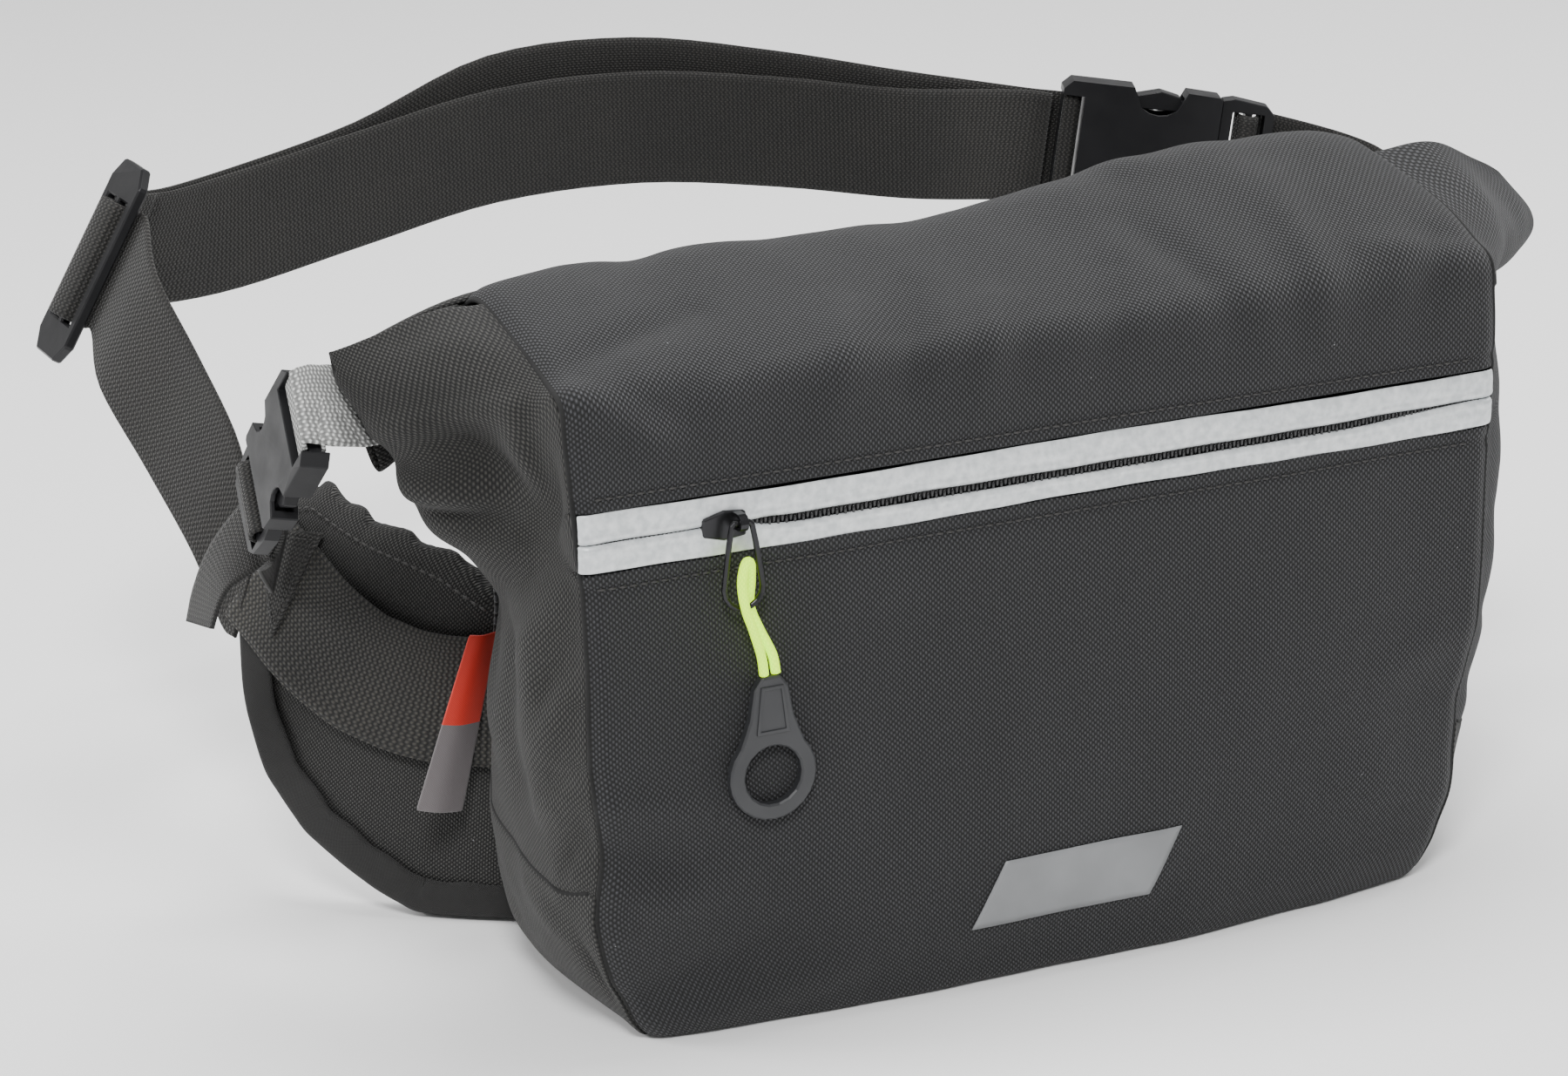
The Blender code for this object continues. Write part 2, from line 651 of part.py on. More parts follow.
def wing_binding(side, name):
    """Folded cloth round the wing's lower and outer edge."""
    lower = [WING_LENGTH * k / WING_STEPS for k in range(WING_STEPS)]
    edge = [(s, along(WING_BOTTOM, s)) for s in lower]
    edge += [(WING_LENGTH, z) for z in (0.0862, 0.0980, 0.1130)]
    rings = []
    for index, (s, z) in enumerate(edge):
        before = Vector(edge[max(index - 1, 0)])
        after = Vector(edge[min(index + 1, len(edge) - 1)])
        run = (after - before).normalized()
        inward = Vector((-run.y, run.x))
        ring = []
        outs = (GAP, GAP + BINDING_CLOTH, -WING_PAD - GAP - BINDING_CLOTH, -WING_PAD - GAP)
        near, far = -GAP, -GAP - BINDING_CLOTH
        section = [(BINDING_FACE, outs[0]), (BINDING_FACE, outs[1]), (far, outs[1]), (far, outs[2])]
        section += [(BINDING_FACE, outs[2]), (BINDING_FACE, outs[3]), (near, outs[3]), (near, outs[0])]
        for reach, out in section:
            ring.append(wing_point(side, s + inward.x * reach, z + inward.y * reach, out))
        rings.append(ring)
    count = len(rings[0])
    faces = [(0, 1, 2, 7), (2, 3, 6, 7), (3, 4, 5, 6)]
    last = (len(rings) - 1) * count
    faces += [tuple(last + index for index in face) for face in faces[:3]]
    for level in range(len(rings) - 1):
        for index in range(count):
            after = (index + 1) % count
            low, high = level * count, (level + 1) * count
            faces.append((low + index, low + after, high + after, high + index))
    add_mesh("wing_binding_" + name, [p for ring in rings for p in ring], faces, "binding")


def side_label():
    """Woven label held in the seam between the left gusset and the wing."""
    seam = (Vector((-0.1385, 0.0528, 0.0940)), Vector((-0.1450, 0.0565, 0.0370)))
    free = (Vector((-0.1455, 0.0508, 0.0940)), Vector((-0.1580, 0.0535, 0.0360)))
    grid = [[edge[0].lerp(edge[1], k / 4) for edge in (seam, free)] for k in range(5)]
    shell("side_label", grid, 0.0006, "label")


# ---------------------------------------------------------------- buckles
class Buckle:
    """Side-release buckle sizes, all from the width of its webbing."""

    def __init__(self, web, length):
        self.half = web / 2 + 0.0040 if web < 0.03 else web / 2 + 0.0058
        self.length = length
        self.slot = web / 2 + 0.0005
        self.shell = 0.0042 if web < 0.03 else 0.0052
        self.hollow = self.shell - 0.0015
        self.bar_half = 0.0018
        self.bar = -0.0085
        self.bar_end = self.bar + 0.0026
        self.slot_end = self.bar_end + 0.0052
        self.window = (length * 0.34, length * 0.74)
        self.scoop = self.half * 0.36


def socket_outline(b):
    """Outline of the socket: chamfered ends and a finger scoop at each side window."""
    right = [(b.bar, b.half - 0.003), (b.bar + 0.003, b.half)]
    middle = (b.window[0] + b.window[1]) / 2
    reach = (b.window[1] - b.window[0]) / 2
    for step in range(7):
        share = -1 + step / 3
        right.append((middle + reach * share, b.half - b.scoop * math.sqrt(max(1 - share * share, 0.0))))
    right += [(b.length - 0.001, b.half - 0.0005), (b.length, b.half - 0.0015)]
    return right + [(x, -y) for x, y in reversed(right)]


def buckle_socket(name, b, frame):
    socket = plate(name, socket_outline(b), -b.shell, b.shell, "buckle", frame, bevel=0.0006)
    deep, wide = b.slot_end + 0.003, b.half - 0.0024
    lobe = (b.window[0] + 0.001, b.window[1] - 0.001)
    right = [(deep, wide), (lobe[0], wide), (lobe[0], b.half + 0.002), (lobe[1], b.half + 0.002)]
    right += [(lobe[1], wide), (b.length + 0.002, wide)]
    hollow = right + [(x, -y) for x, y in reversed(right)]
    cavity = plate(name + "_cavity_cutter", hollow, -b.hollow, b.hollow, None, frame)
    # The web slot, with the bar thinned to lie below both faces.
    before = b.bar - 0.002
    side = [(before, b.bar_half), (b.bar_end, b.bar_half), (b.bar_end, -b.bar_half)]
    side += [(before, -b.bar_half), (before, -0.01), (b.slot_end, -0.01)]
    side += [(b.slot_end, 0.01), (before, 0.01)]
    turned = frame @ Matrix.Rotation(math.radians(90), 4, "X")
    slot = plate(name + "_slot_cutter", side, -b.slot, b.slot, None, turned)
    cut(socket, hide_cutter(slot), first=True)
    cut(socket, hide_cutter(cavity), first=True)


def buckle_plug(name, b, frame, ladder):
    """Plug: a guide tongue, a shoulder outside the socket and a frame with slots for the web."""
    thick = b.hollow - 0.0005
    base = b.length + 0.0003
    end = base + ladder[-1]
    right = [(b.slot_end + 0.006, 0.0016), (base, 0.0022), (base, b.half - 0.0015)]
    right += [(base + 0.004, b.half - 0.0005), (end - 0.003, b.half - 0.002), (end, b.half - 0.005)]
    outline = right + [(x, -y) for x, y in reversed(right)]
    plug = plate(name, outline, -thick, thick, "buckle", frame, bevel=0.0005)
    boxes = []
    for low, high in zip(ladder[0:-1:2], ladder[1:-1:2]):
        boxes.append(((base + low, -b.slot, -0.01), (base + high, b.slot, 0.01)))
    cut(plug, blocks(name + "_slot_cutter", boxes, frame), first=True)


def latch_arm(name, b, frame, side):
    """One springy arm of the plug, with its finger pad in the socket's side window."""
    thick = b.hollow - 0.0006
    root = b.length - 0.0002
    front, back = b.window[0] + 0.0016, b.window[1] - 0.0016
    outer = b.half - 0.0042
    pad = b.half - 0.0008
    line = [(root, outer - 0.0030), (root, outer - 0.0002), (back, outer), (back - 0.0008, pad - 0.0015)]
    line += [((front + back) / 2, pad), (front, pad - 0.0022), (front - 0.0030, outer - 0.0024)]
    line += [(front - 0.0030, outer - 0.0040), (front + 0.002, outer - 0.0034)]
    flex = outer - 0.0016
    origin = frame @ Matrix.Translation((root, side * flex, 0.0))
    outline = [(x - root, side * (y - flex)) for x, y in line]
    plate(name, outline, -thick, thick, "buckle", origin, bevel=0.0003)


SIDE_BUCKLE = Buckle(SIDE_WIDTH, 0.0260)
BELT_BUCKLE = Buckle(BELT_WIDTH, 0.0480)
SIDE_LADDER = (0.0026, 0.0066, 0.0090, 0.0132, 0.0160)
BELT_LADDER = (0.0040, 0.0085, 0.0110, 0.0155, 0.0190)
SIDE_PLACES = {
    "left": ((-0.2000, 0.0150, 0.1730), (-0.165, 0.640, -0.750), (0.139, 0.768, 0.625)),
    "right": ((0.1900, 0.0340, 0.1680), (-0.060, 0.660, -0.750), (-0.100, 0.768, 0.625)),
}
BELT_PLACE = ((0.1700, 0.2410, 0.1630), (0.909, -0.390, -0.143), (0.131, -0.056, 0.990))
ADJUSTER_PLACE = ((-0.1950, 0.2240, 0.1740), (0.0, 1.0, 0.0), (0.507, 0.0, 0.865))


def in_frame(frame, pairs, face=1.0):
    """Web stations from (x, z) pairs of a buckle's own frame, z counted towards the given face."""
    across = frame.to_3x3() @ Vector((0, 1, 0))
    return [(frame @ Vector((x, 0.0, face * z)), across) for x, z in pairs]


def bar_wrap(b, lift):
    """The web's turn round the socket's bar, from one face to the other."""
    middle = b.bar_end + 0.0006
    turn = [(b.bar - 0.003, -lift), (b.bar + 0.0006, -lift)]
    for angle in (-60, -30, 0, 30, 60):
        a = math.radians(angle)
        turn.append((middle + 0.0010 * math.cos(a), lift * math.sin(a)))
    return turn + [(b.bar + 0.0006, lift), (b.bar - 0.003, lift)]


def side_buckles():
    for side, (place, axis, across) in SIDE_PLACES.items():
        sign = -1 if side == "left" else 1
        b = SIDE_BUCKLE
        frame = local_frame(place, axis, across)
        buckle_socket("side_socket_" + side, b, frame)
        buckle_plug("side_plug_" + side, b, frame, SIDE_LADDER)
        latch_arm("side_latch_%s_a" % side, b, frame, 1)
        latch_arm("side_latch_%s_b" % side, b, frame, -1)
        roll_across = Vector((-sign * 0.42, -0.35, -0.84))
        if roll_across.dot(frame.to_3x3() @ Vector((0, 1, 0))) < 0:
            roll_across = -roll_across
        reach = 0.1740 if side == "left" else 0.1790
        ends = [(Vector((sign * reach, 0.0102, 0.1800)), roll_across)]
        ends.append((Vector((sign * (reach + 0.0080), 0.0104, 0.1785)), roll_across))
        shift = Vector((0.0, 0.0022, 0.0))
        wrap = in_frame(frame, bar_wrap(b, 0.0027))
        if (wrap[0][0] - ends[1][0]).length < (wrap[-1][0] - ends[1][0] - shift).length:
            wrap = wrap[::-1]
        rear = [(p + shift, a) for p, a in reversed(ends)]
        stations = ends + wrap + rear
        ribbon("side_webbing_" + side, stations, SIDE_WIDTH, SIDE_THICK, "grey_webbing")
        side_strap(side, sign, frame, b)


def side_strap(side, sign, frame, b):
    """Black strap from the wing, threaded through the plug's frame, with its free tail."""
    base = b.length + 0.0003
    anchor = wing_point(sign, 0.070, 0.104, 0.0070)
    up = (wing_point(sign, 0.070, 0.114, 0.0070) - anchor).normalized()
    y_axis = frame.to_3x3() @ Vector((0, 1, 0))
    if up.dot(y_axis) < 0:
        up = -up
    face = 1.0 if (frame.to_3x3() @ Vector((0, 0, 1))).x * sign > 0 else -1.0
    load = [(0.0220, -0.0062), (0.0160, -0.0060), (0.0090, -0.0055), (0.0055, -0.0042), (0.0046, -0.0018)]
    over = [(0.0047, 0.0008), (0.0058, 0.0034), (0.0078, 0.0040), (0.0098, 0.0034), (0.0109, 0.0008)]
    tail = [(0.0111, -0.0012), (0.0122, -0.0036), (0.0160, -0.0040), (0.0220, -0.0036)]
    threaded = in_frame(frame, [(base + x, z) for x, z in load + over + tail], face)
    middle = anchor.lerp(threaded[0][0], 0.5) + Vector((sign * 0.003, 0.0, 0.004))
    start = [(anchor, up), (middle, up + y_axis)]
    out = frame.to_3x3() @ Vector((0, 0, face * 0.003))
    end = threaded[-1][0] + out
    drop = [(end + Vector((sign * 0.006, 0.006, -0.011)), y_axis)]
    drop.append((end + Vector((sign * 0.012, 0.010, -0.027)), y_axis))
    stations = start + threaded + drop
    ribbon("side_strap_" + side, stations, SIDE_WIDTH - 0.001, SIDE_THICK, "black_webbing")
    corners = ((0.058, 0.118), (0.084, 0.1105), (0.0745, 0.0860))
    outer = [wing_point(sign, s, z, 0.0052) for s, z in corners]
    inner = [wing_point(sign, s, z, 0.0038) for s, z in corners]
    faces = [(0, 1, 2), (3, 4, 5), (0, 1, 4, 3), (1, 2, 5, 4), (2, 0, 3, 5)]
    add_mesh("strap_anchor_" + side, outer + inner, faces, "black_webbing")


# ---------------------------------------------------------------- belt
def belt_adjuster(frame):
    half, long = 0.0140, 0.0335
    outline = [(-half, -long + 0.006), (-half + 0.005, -long), (half - 0.005, -long)]
    outline.append((half, -long + 0.006))
    outline += [(x, -y) for x, y in reversed(outline)]
    body = plate("belt_adjuster", outline, -0.0017, 0.0017, "buckle", frame, bevel=0.0006)
    reach = BELT_WIDTH / 2 + 0.0012
    slots = [((low, -reach, -0.01), (low + 0.0084, reach, 0.01)) for low in (-0.0100, 0.0016)]
    cut(body, blocks("belt_adjuster_cutter", slots, frame), first=True)


FAR_BELT = [
    (-0.1810, 0.2580, 0.1680),
    (-0.1600, 0.2680, 0.1640),
    (-0.1280, 0.2790, 0.1640),
    (-0.0800, 0.2900, 0.1700),
    (-0.0280, 0.2975, 0.1770),
    (0.0260, 0.2985, 0.1770),
    (0.0760, 0.2910, 0.1710),
    (0.1180, 0.2750, 0.1650),
]
RIGHT_BEND = [
    (0.2600, 0.2085, 0.1450),
    (0.2700, 0.1950, 0.1395),
    (0.2650, 0.1780, 0.1325),
    (0.2415, 0.1650, 0.1235),
    (0.2160, 0.1550, 0.1125),
]
REAR_LIFT = [0.0005, 0.0008, 0.0010, 0.0020, 0.0108, 0.0114, 0.0088, 0.0060]
REAR_BACK = [0.0023, 0.0025, 0.0030, 0.0045, 0.0050, 0.0045, 0.0035, 0.0028]


def plan_normal(points, index):
    """Direction square to the belt in plan, pointing away from the bag."""
    run = Vector(points[min(index + 1, len(points) - 1)]) - Vector(points[max(index - 1, 0)])
    return Vector((-run.y, run.x, 0.0)).normalized()


def belt():
    adjuster = local_frame(*ADJUSTER_PLACE)
    belt_adjuster(adjuster)
    tilt = Vector(ADJUSTER_PLACE[2])
    buckle = local_frame(*BELT_PLACE)
    b = BELT_BUCKLE
    buckle_socket("belt_socket", b, buckle)
    buckle_plug("belt_plug", b, buckle, BELT_LADDER)
    latch_arm("belt_latch_a", b, buckle, 1)
    latch_arm("belt_latch_b", b, buckle, -1)
    up = buckle.to_3x3() @ Vector((0, 1, 0))
    leans = [tilt.lerp(Vector((0, 0, 1)), ease(k / 2.5)).normalized() for k in range(len(FAR_BELT))]
    # Strap from the left wing, over the adjuster's middle bar, then the outer layer of the belt.
    tip = [wing_point(-1, s, z, 0.0029) for s, z in ((0.0830, 0.0957), (0.0900, 0.0985))]
    wing_up = (wing_point(-1, 0.083, 0.12, 0.002) - wing_point(-1, 0.083, 0.09, 0.002)).normalized()
    rise = [(-0.1865, 0.1400, 0.1190), (-0.1905, 0.1650, 0.1390), (-0.1950, 0.1900, 0.1590)]
    rise = [(Vector(p), wing_up.lerp(tilt, (k + 1) / 3)) for k, p in enumerate(rise)]
    threading = [(-0.0150, -0.0046), (-0.0092, -0.0032), (-0.0066, 0.0), (-0.0050, 0.0036), (0.0, 0.0056)]
    threading += [(0.0050, 0.0036), (0.0066, 0.0), (0.0092, -0.0032), (0.0150, -0.0046), (0.0215, -0.0046)]
    start = smooth_web([(p, wing_up) for p in tip] + rise + in_frame(adjuster, threading[:1], -1), 3)
    outer = [(Vector(p), a) for p, a in zip(FAR_BELT, leans)]
    backs = [plan_normal(FAR_BELT, k) * REAR_BACK[k] for k in range(len(FAR_BELT))]
    outer = [(p + back + Vector((0, 0, lift)), a) for (p, a), back, lift in zip(outer, backs, REAR_LIFT)]
    wrap = in_frame(buckle, bar_wrap(b, 0.0029))
    lead = in_frame(buckle, [(b.bar - 0.016, -0.0029)])
    far = smooth_web(in_frame(adjuster, threading[-1:], -1) + outer + lead + wrap[:1], 3)
    stations = start + in_frame(adjuster, threading[1:-1], -1) + far + wrap[1:-1]
    ribbon("belt_web_left", stations, BELT_WIDTH, BELT_THICK, "black_webbing")
    belt_return(adjuster, buckle, b, leans)
    belt_right(buckle, b, up)


def belt_return(adjuster, buckle, b, leans):
    """Inner layer: from the socket's bar back to the adjuster, round its middle bar, sewn to itself."""
    loop = [(0.0215, -0.0068), (0.0150, -0.0068), (0.0090, -0.0060), (0.0052, -0.0040), (0.0034, -0.0012)]
    loop += [(0.0033, 0.0012), (0.0018, 0.0030), (-0.0018, 0.0030), (-0.0033, 0.0012), (-0.0034, -0.0018)]
    loop += [(-0.0020, -0.0048), (0.0030, -0.0074), (0.0090, -0.0090), (0.0150, -0.0090), (0.0215, -0.0090)]
    inner = [(Vector(p), a) for p, a in zip(FAR_BELT, leans)]
    ends = in_frame(buckle, [(b.bar - 0.016, 0.0029), (b.bar - 0.0036, 0.0029)])
    run = smooth_web(in_frame(adjuster, loop[:1], -1) + inner + ends, 3)
    beside = Vector((0.0014, -0.0018, 0.0))
    sewn = smooth_web(in_frame(adjuster, loop[-1:], -1) + inner[:2], 2)[1:-1]
    sewn = [(p + beside, a) for p, a in sewn]
    stations = run[::-1] + in_frame(adjuster, loop[1:], -1) + sewn
    ribbon("belt_web_return", stations, BELT_WIDTH, BELT_THICK, "black_webbing")


def belt_right(buckle, b, up):
    """Web from the plug's frame round to the right wing."""
    base = b.length + 0.0003
    threading = [(0.0060, -0.0020), (0.0062, 0.0), (0.0076, 0.0034), (0.0098, 0.0048)]
    threading += [(0.0120, 0.0034), (0.0134, 0.0), (0.0150, -0.0040), (0.0195, -0.0052)]
    threaded = in_frame(buckle, [(base + x, z) for x, z in threading])
    wing_up = (wing_point(1, 0.083, 0.12, 0.002) - wing_point(1, 0.083, 0.09, 0.002)).normalized()
    bend = [(Vector(p), up.lerp(wing_up, (k + 1) / 5)) for k, p in enumerate(RIGHT_BEND)]
    ends = ((0.1000, 0.1020), (0.0900, 0.0985), (0.0830, 0.0957))
    tip = [(wing_point(1, s, z, 0.0029), wing_up) for s, z in ends]
    route = threaded[:-1] + smooth_web(threaded[-1:] + bend + tip, 3)
    ribbon("belt_web_right", route, BELT_WIDTH, BELT_THICK, "black_webbing")


def build():
    clear_scene()
    front_panels()
    zip_parts()
    slider()
    pull_parts()
    front_patch()
    side_gussets()
    bottom_parts()
    back_parts()
    pocket_wall()
    inner_liner()
    roll_parts()
    wing_parts()
    side_label()
    side_buckles()
    belt()


build()
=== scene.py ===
"""Looks of the roll-top waist bag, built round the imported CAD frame. Metres, +Z up, front towards -Y."""

import math

import bmesh
import bpy
import numpy as np
from mathutils import Matrix, Vector, noise


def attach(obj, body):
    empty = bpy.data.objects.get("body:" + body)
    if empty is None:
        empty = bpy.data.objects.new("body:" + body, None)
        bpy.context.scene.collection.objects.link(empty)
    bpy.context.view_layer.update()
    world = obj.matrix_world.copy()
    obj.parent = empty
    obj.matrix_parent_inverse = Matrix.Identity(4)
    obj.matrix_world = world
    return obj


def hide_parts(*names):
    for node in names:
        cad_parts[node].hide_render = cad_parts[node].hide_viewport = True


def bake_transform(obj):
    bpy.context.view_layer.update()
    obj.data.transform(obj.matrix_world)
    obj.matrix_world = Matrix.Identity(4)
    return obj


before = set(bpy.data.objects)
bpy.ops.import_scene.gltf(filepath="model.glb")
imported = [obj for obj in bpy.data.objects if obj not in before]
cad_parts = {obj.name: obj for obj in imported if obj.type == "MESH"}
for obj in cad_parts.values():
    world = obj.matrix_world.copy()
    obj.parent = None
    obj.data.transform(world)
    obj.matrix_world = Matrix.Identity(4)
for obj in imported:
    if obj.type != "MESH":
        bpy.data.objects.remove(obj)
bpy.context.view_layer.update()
MM = 0.001

SIDES = ((-1, "left"), (1, "right"))

# ---- Sizes shared with the CAD ----
ZIP_Z, ZIP_Y, ZIP_HALF = 0.1500, -0.0520, 0.1430
RING_CENTRE = (-0.0935, -0.0590, 0.0775)
WING_ROOT = (0.1360, 0.0592)
WING_LENGTH, WING_PAD = 0.0850, 0.0090
WING_TURN = (math.radians(42.0), math.radians(60.0))
WING_BOTTOM = [(-0.012, 0.0023), (0.0, 0.0023), (0.012, 0.0029), (0.022, 0.0080), (0.032, 0.0145)]
WING_BOTTOM += [(0.0456, 0.0240), (0.062, 0.0405), (0.0745, 0.0605), (0.085, 0.0860)]
WING_WEB = [(-0.012, 0.0690), (0.010, 0.0690), (0.020, 0.0703), (0.036, 0.0747), (0.052, 0.0825)]
WING_WEB += [(0.070, 0.0935), (0.090, 0.1030)]
WING_TOP = [(-0.012, 0.1030), (0.0, 0.1085), (0.012, 0.1145), (0.028, 0.1185), (0.040, 0.1210)]
WING_TOP += [(0.052, 0.1245), (0.066, 0.1290), (0.076, 0.1260), (0.085, 0.1160)]
RIGHT_SEAM = [(0.0, 0.1255), (0.012, 0.1308), (0.023, 0.1332), (0.034, 0.1355), (0.045, 0.1365)]
RIGHT_SEAM += [(0.056, 0.1376), (0.067, 0.1396), (0.077, 0.1418), (0.088, 0.1434), (0.100, 0.1440)]
RIGHT_SEAM += [(0.130, 0.1448), (0.150, 0.1457), (0.176, 0.1470), (0.206, 0.1470)]
SEAM = [(0.0, 0.1255), (0.007, 0.1315), (0.019, 0.1383), (0.0287, 0.1410), (0.040, 0.1432)]
SEAM += [(0.049, 0.1424), (0.057, 0.1412), (0.070, 0.1423), (0.086, 0.1442), (0.110, 0.1438)]
SEAM += [(0.135, 0.1442), (0.148, 0.1455), (0.176, 0.1470), (0.206, 0.1470)]
BELT_WIDTH, BELT_THICK = 0.0400, 0.0014
SIDE_WIDTH, SIDE_THICK = 0.0250, 0.0012
CORD_ROUTE = [
    (-0.0952, -0.0592, 0.1069), (-0.0962, -0.0600, 0.1125), (-0.0990, -0.0612, 0.1210),
    (-0.1015, -0.0619, 0.1280), (-0.1022, -0.0616, 0.1350), (-0.1006, -0.0606, 0.1400),
    (-0.0984, -0.0590, 0.1395), (-0.0974, -0.0568, 0.1340), (-0.0976, -0.0562, 0.1265),
    (-0.0955, -0.0570, 0.1200), (-0.0925, -0.0588, 0.1125), (-0.0916, -0.0592, 0.1069),
]


# ---- Sizes of the looks ----
BODY_CLOTH = 1.3 * MM
EDGE_DIP, EDGE_WIDTH = 1.8 * MM, 2.0 * MM
STITCH_VALLEY, STITCH_SHARE = 0.7 * MM, 0.72
BASE_LIFT = 1.3 * MM
TOOTH_PITCH = 1.28 * MM
TWIST_START = 0.137
SWELL_CAP, SWELL_VOXEL, SWELL_STEPS = 2.2 * MM, 4.5 * MM, 20
ROUNDING = {"plastic": 0.55 * MM, "rubber": 0.9 * MM, "metal": 0.25 * MM}
ANCHOR_CORNERS = ((0.0575, 0.1130), (0.0835, 0.1100), (0.0680, 0.0795))


# ---------------------------------------------------------------- camera, floor, light
FLOOR_HALF, FLOOR_GAP, WORLD_STRENGTH = 12.0, 0.0004, 0.55
LIGHTS_AIM = Vector((0.0, 0.06, 0.1))
LIGHTS = (
    ("key", (-0.9, -1.5, 2.0), 0.7, 58),
    ("top", (0.3, 0.4, 2.2), 1.2, 42),
    ("rim_left", (-1.9, 0.9, 1.1), 0.8, 26),
    ("rim_right", (1.8, 0.2, 1.1), 0.9, 16),
)


def set_camera():
    data = bpy.data.cameras.new("camera")
    data.lens, data.sensor_width, data.sensor_fit = 100.0, 36.0, "HORIZONTAL"
    data.clip_start, data.clip_end = 0.05, 50.0
    camera = bpy.data.objects.new("camera", data)
    right = Vector((0.9027, -0.4297, -0.0218))
    ahead = Vector((0.4019, 0.8620, -0.3090)).normalized()
    right = (right - ahead * right.dot(ahead)).normalized()
    up = right.cross(ahead)
    turned = Matrix((right, up, -ahead)).transposed().to_4x4()
    camera.matrix_world = Matrix.Translation((-0.56465, -1.08109, 0.51152)) @ turned
    bpy.context.scene.collection.objects.link(camera)
    bpy.context.scene.camera = camera


def area_light(name, place, size, watts):
    data = bpy.data.lights.new(name, "AREA")
    data.shape, data.size, data.energy = "DISK", size, watts
    light = bpy.data.objects.new(name, data)
    light.location = place
    light.rotation_euler = (LIGHTS_AIM - Vector(place)).to_track_quat("-Z", "Y").to_euler()
    bpy.context.scene.collection.objects.link(light)


def studio():
    world = bpy.data.worlds.new("studio")
    bpy.context.scene.world = world
    world.use_nodes = True
    back = world.node_tree.nodes["Background"]
    back.inputs["Color"].default_value = (1.0, 1.0, 1.0, 1)
    back.inputs["Strength"].default_value = WORLD_STRENGTH
    for name, place, size, watts in LIGHTS:
        area_light(name, place, size, watts)
    mesh = bpy.data.meshes.new("floor")
    far = FLOOR_HALF
    mesh.from_pydata([(-far, -far, 0), (far, -far, 0), (far, far, 0), (-far, far, 0)], [], [(0, 1, 2, 3)])
    floor = bpy.data.objects.new("floor", mesh)
    floor.location.z = -FLOOR_GAP
    mesh.materials.append(Finish("floor_paper", (0.93, 0.93, 0.93), 0.7).material)
    bpy.context.scene.collection.objects.link(floor)


# ---------------------------------------------------------------- materials
class Finish:
    """A Principled material whose colour, roughness and bump come from a few node helpers."""

    def __init__(self, name, colour, roughness, **sockets):
        self.material = bpy.data.materials.new(name)
        self.material.use_nodes = True
        self.nodes = self.material.node_tree.nodes
        self.links = self.material.node_tree.links
        self.shader = self.nodes["Principled BSDF"]
        self.shader.inputs["Base Color"].default_value = (*colour, 1)
        self.shader.inputs["Roughness"].default_value = roughness
        for socket, value in sockets.items():
            self.shader.inputs[socket.replace("_", " ")].default_value = value
        coordinates = self.nodes.new("ShaderNodeTexCoord")
        self.place = coordinates.outputs["Object"]
        self.flat = coordinates.outputs["UV"]

    def put(self, socket, value):
        if isinstance(value, bpy.types.NodeSocket):
            self.links.new(value, socket)
        else:
            socket.default_value = value

    def math(self, operation, a, b=0.0, clamp=False):
        node = self.nodes.new("ShaderNodeMath")
        node.operation, node.use_clamp = operation, clamp
        self.put(node.inputs[0], a)
        self.put(node.inputs[1], b)
        return node.outputs[0]

    def uv(self):
        parts = self.nodes.new("ShaderNodeSeparateXYZ")
        self.links.new(self.flat, parts.inputs[0])
        return parts.outputs[0], parts.outputs[1]

    def noise(self, scale, detail=2.0):
        node = self.nodes.new("ShaderNodeTexNoise")
        node.inputs["Scale"].default_value = scale
        node.inputs["Detail"].default_value = detail
        self.links.new(self.place, node.inputs["Vector"])
        return node.outputs["Fac"]

    def specks(self, spacing, size, share):
        """Sparse lint: 1 on a few small dots."""
        node = self.nodes.new("ShaderNodeTexVoronoi")
        node.inputs["Scale"].default_value = 1.0 / spacing
        self.links.new(self.place, node.inputs["Vector"])
        near = self.math("LESS_THAN", node.outputs["Distance"], size / spacing)
        pick = self.nodes.new("ShaderNodeSeparateXYZ")
        self.links.new(node.outputs["Color"], pick.inputs[0])
        return self.math("MULTIPLY", near, self.math("LESS_THAN", pick.outputs[0], share))

    def mix(self, share, a, b):
        node = self.nodes.new("ShaderNodeMix")
        node.data_type = "RGBA"
        self.put(node.inputs[0], share)
        for index, value in ((6, a), (7, b)):
            if isinstance(value, tuple):
                value = (*value, 1.0)
            self.put(node.inputs[index], value)
        return node.outputs[2]

    def span(self, value, low, high, to_low=0.0, to_high=1.0):
        node = self.nodes.new("ShaderNodeMapRange")
        for index, number in enumerate((value, low, high, to_low, to_high)):
            self.put(node.inputs[index], number)
        return node.outputs[0]

    def waves(self, u, v, across, along):
        """Interlaced yarns: columns as wide as across, whose pattern repeats after along."""
        s = self.math("SINE", self.math("MULTIPLY", u, math.pi / across))
        t = self.math("SINE", self.math("MULTIPLY", v, 2 * math.pi / along))
        flat = self.math("MULTIPLY", self.math("ABSOLUTE", s), 0.5)
        return self.math("ADD", flat, self.math("MULTIPLY", self.math("MULTIPLY", s, t), 0.5))

    def colour(self, value):
        self.links.new(value, self.shader.inputs["Base Color"])

    def roughness(self, value):
        self.links.new(value, self.shader.inputs["Roughness"])

    def bump(self, height, strength, distance):
        node = self.nodes.new("ShaderNodeBump")
        node.inputs["Strength"].default_value = strength
        node.inputs["Distance"].default_value = distance
        self.links.new(height, node.inputs["Height"])
        if self.shader.inputs["Normal"].links:
            self.links.new(self.shader.inputs["Normal"].links[0].from_socket, node.inputs["Normal"])
        self.links.new(node.outputs[0], self.shader.inputs["Normal"])


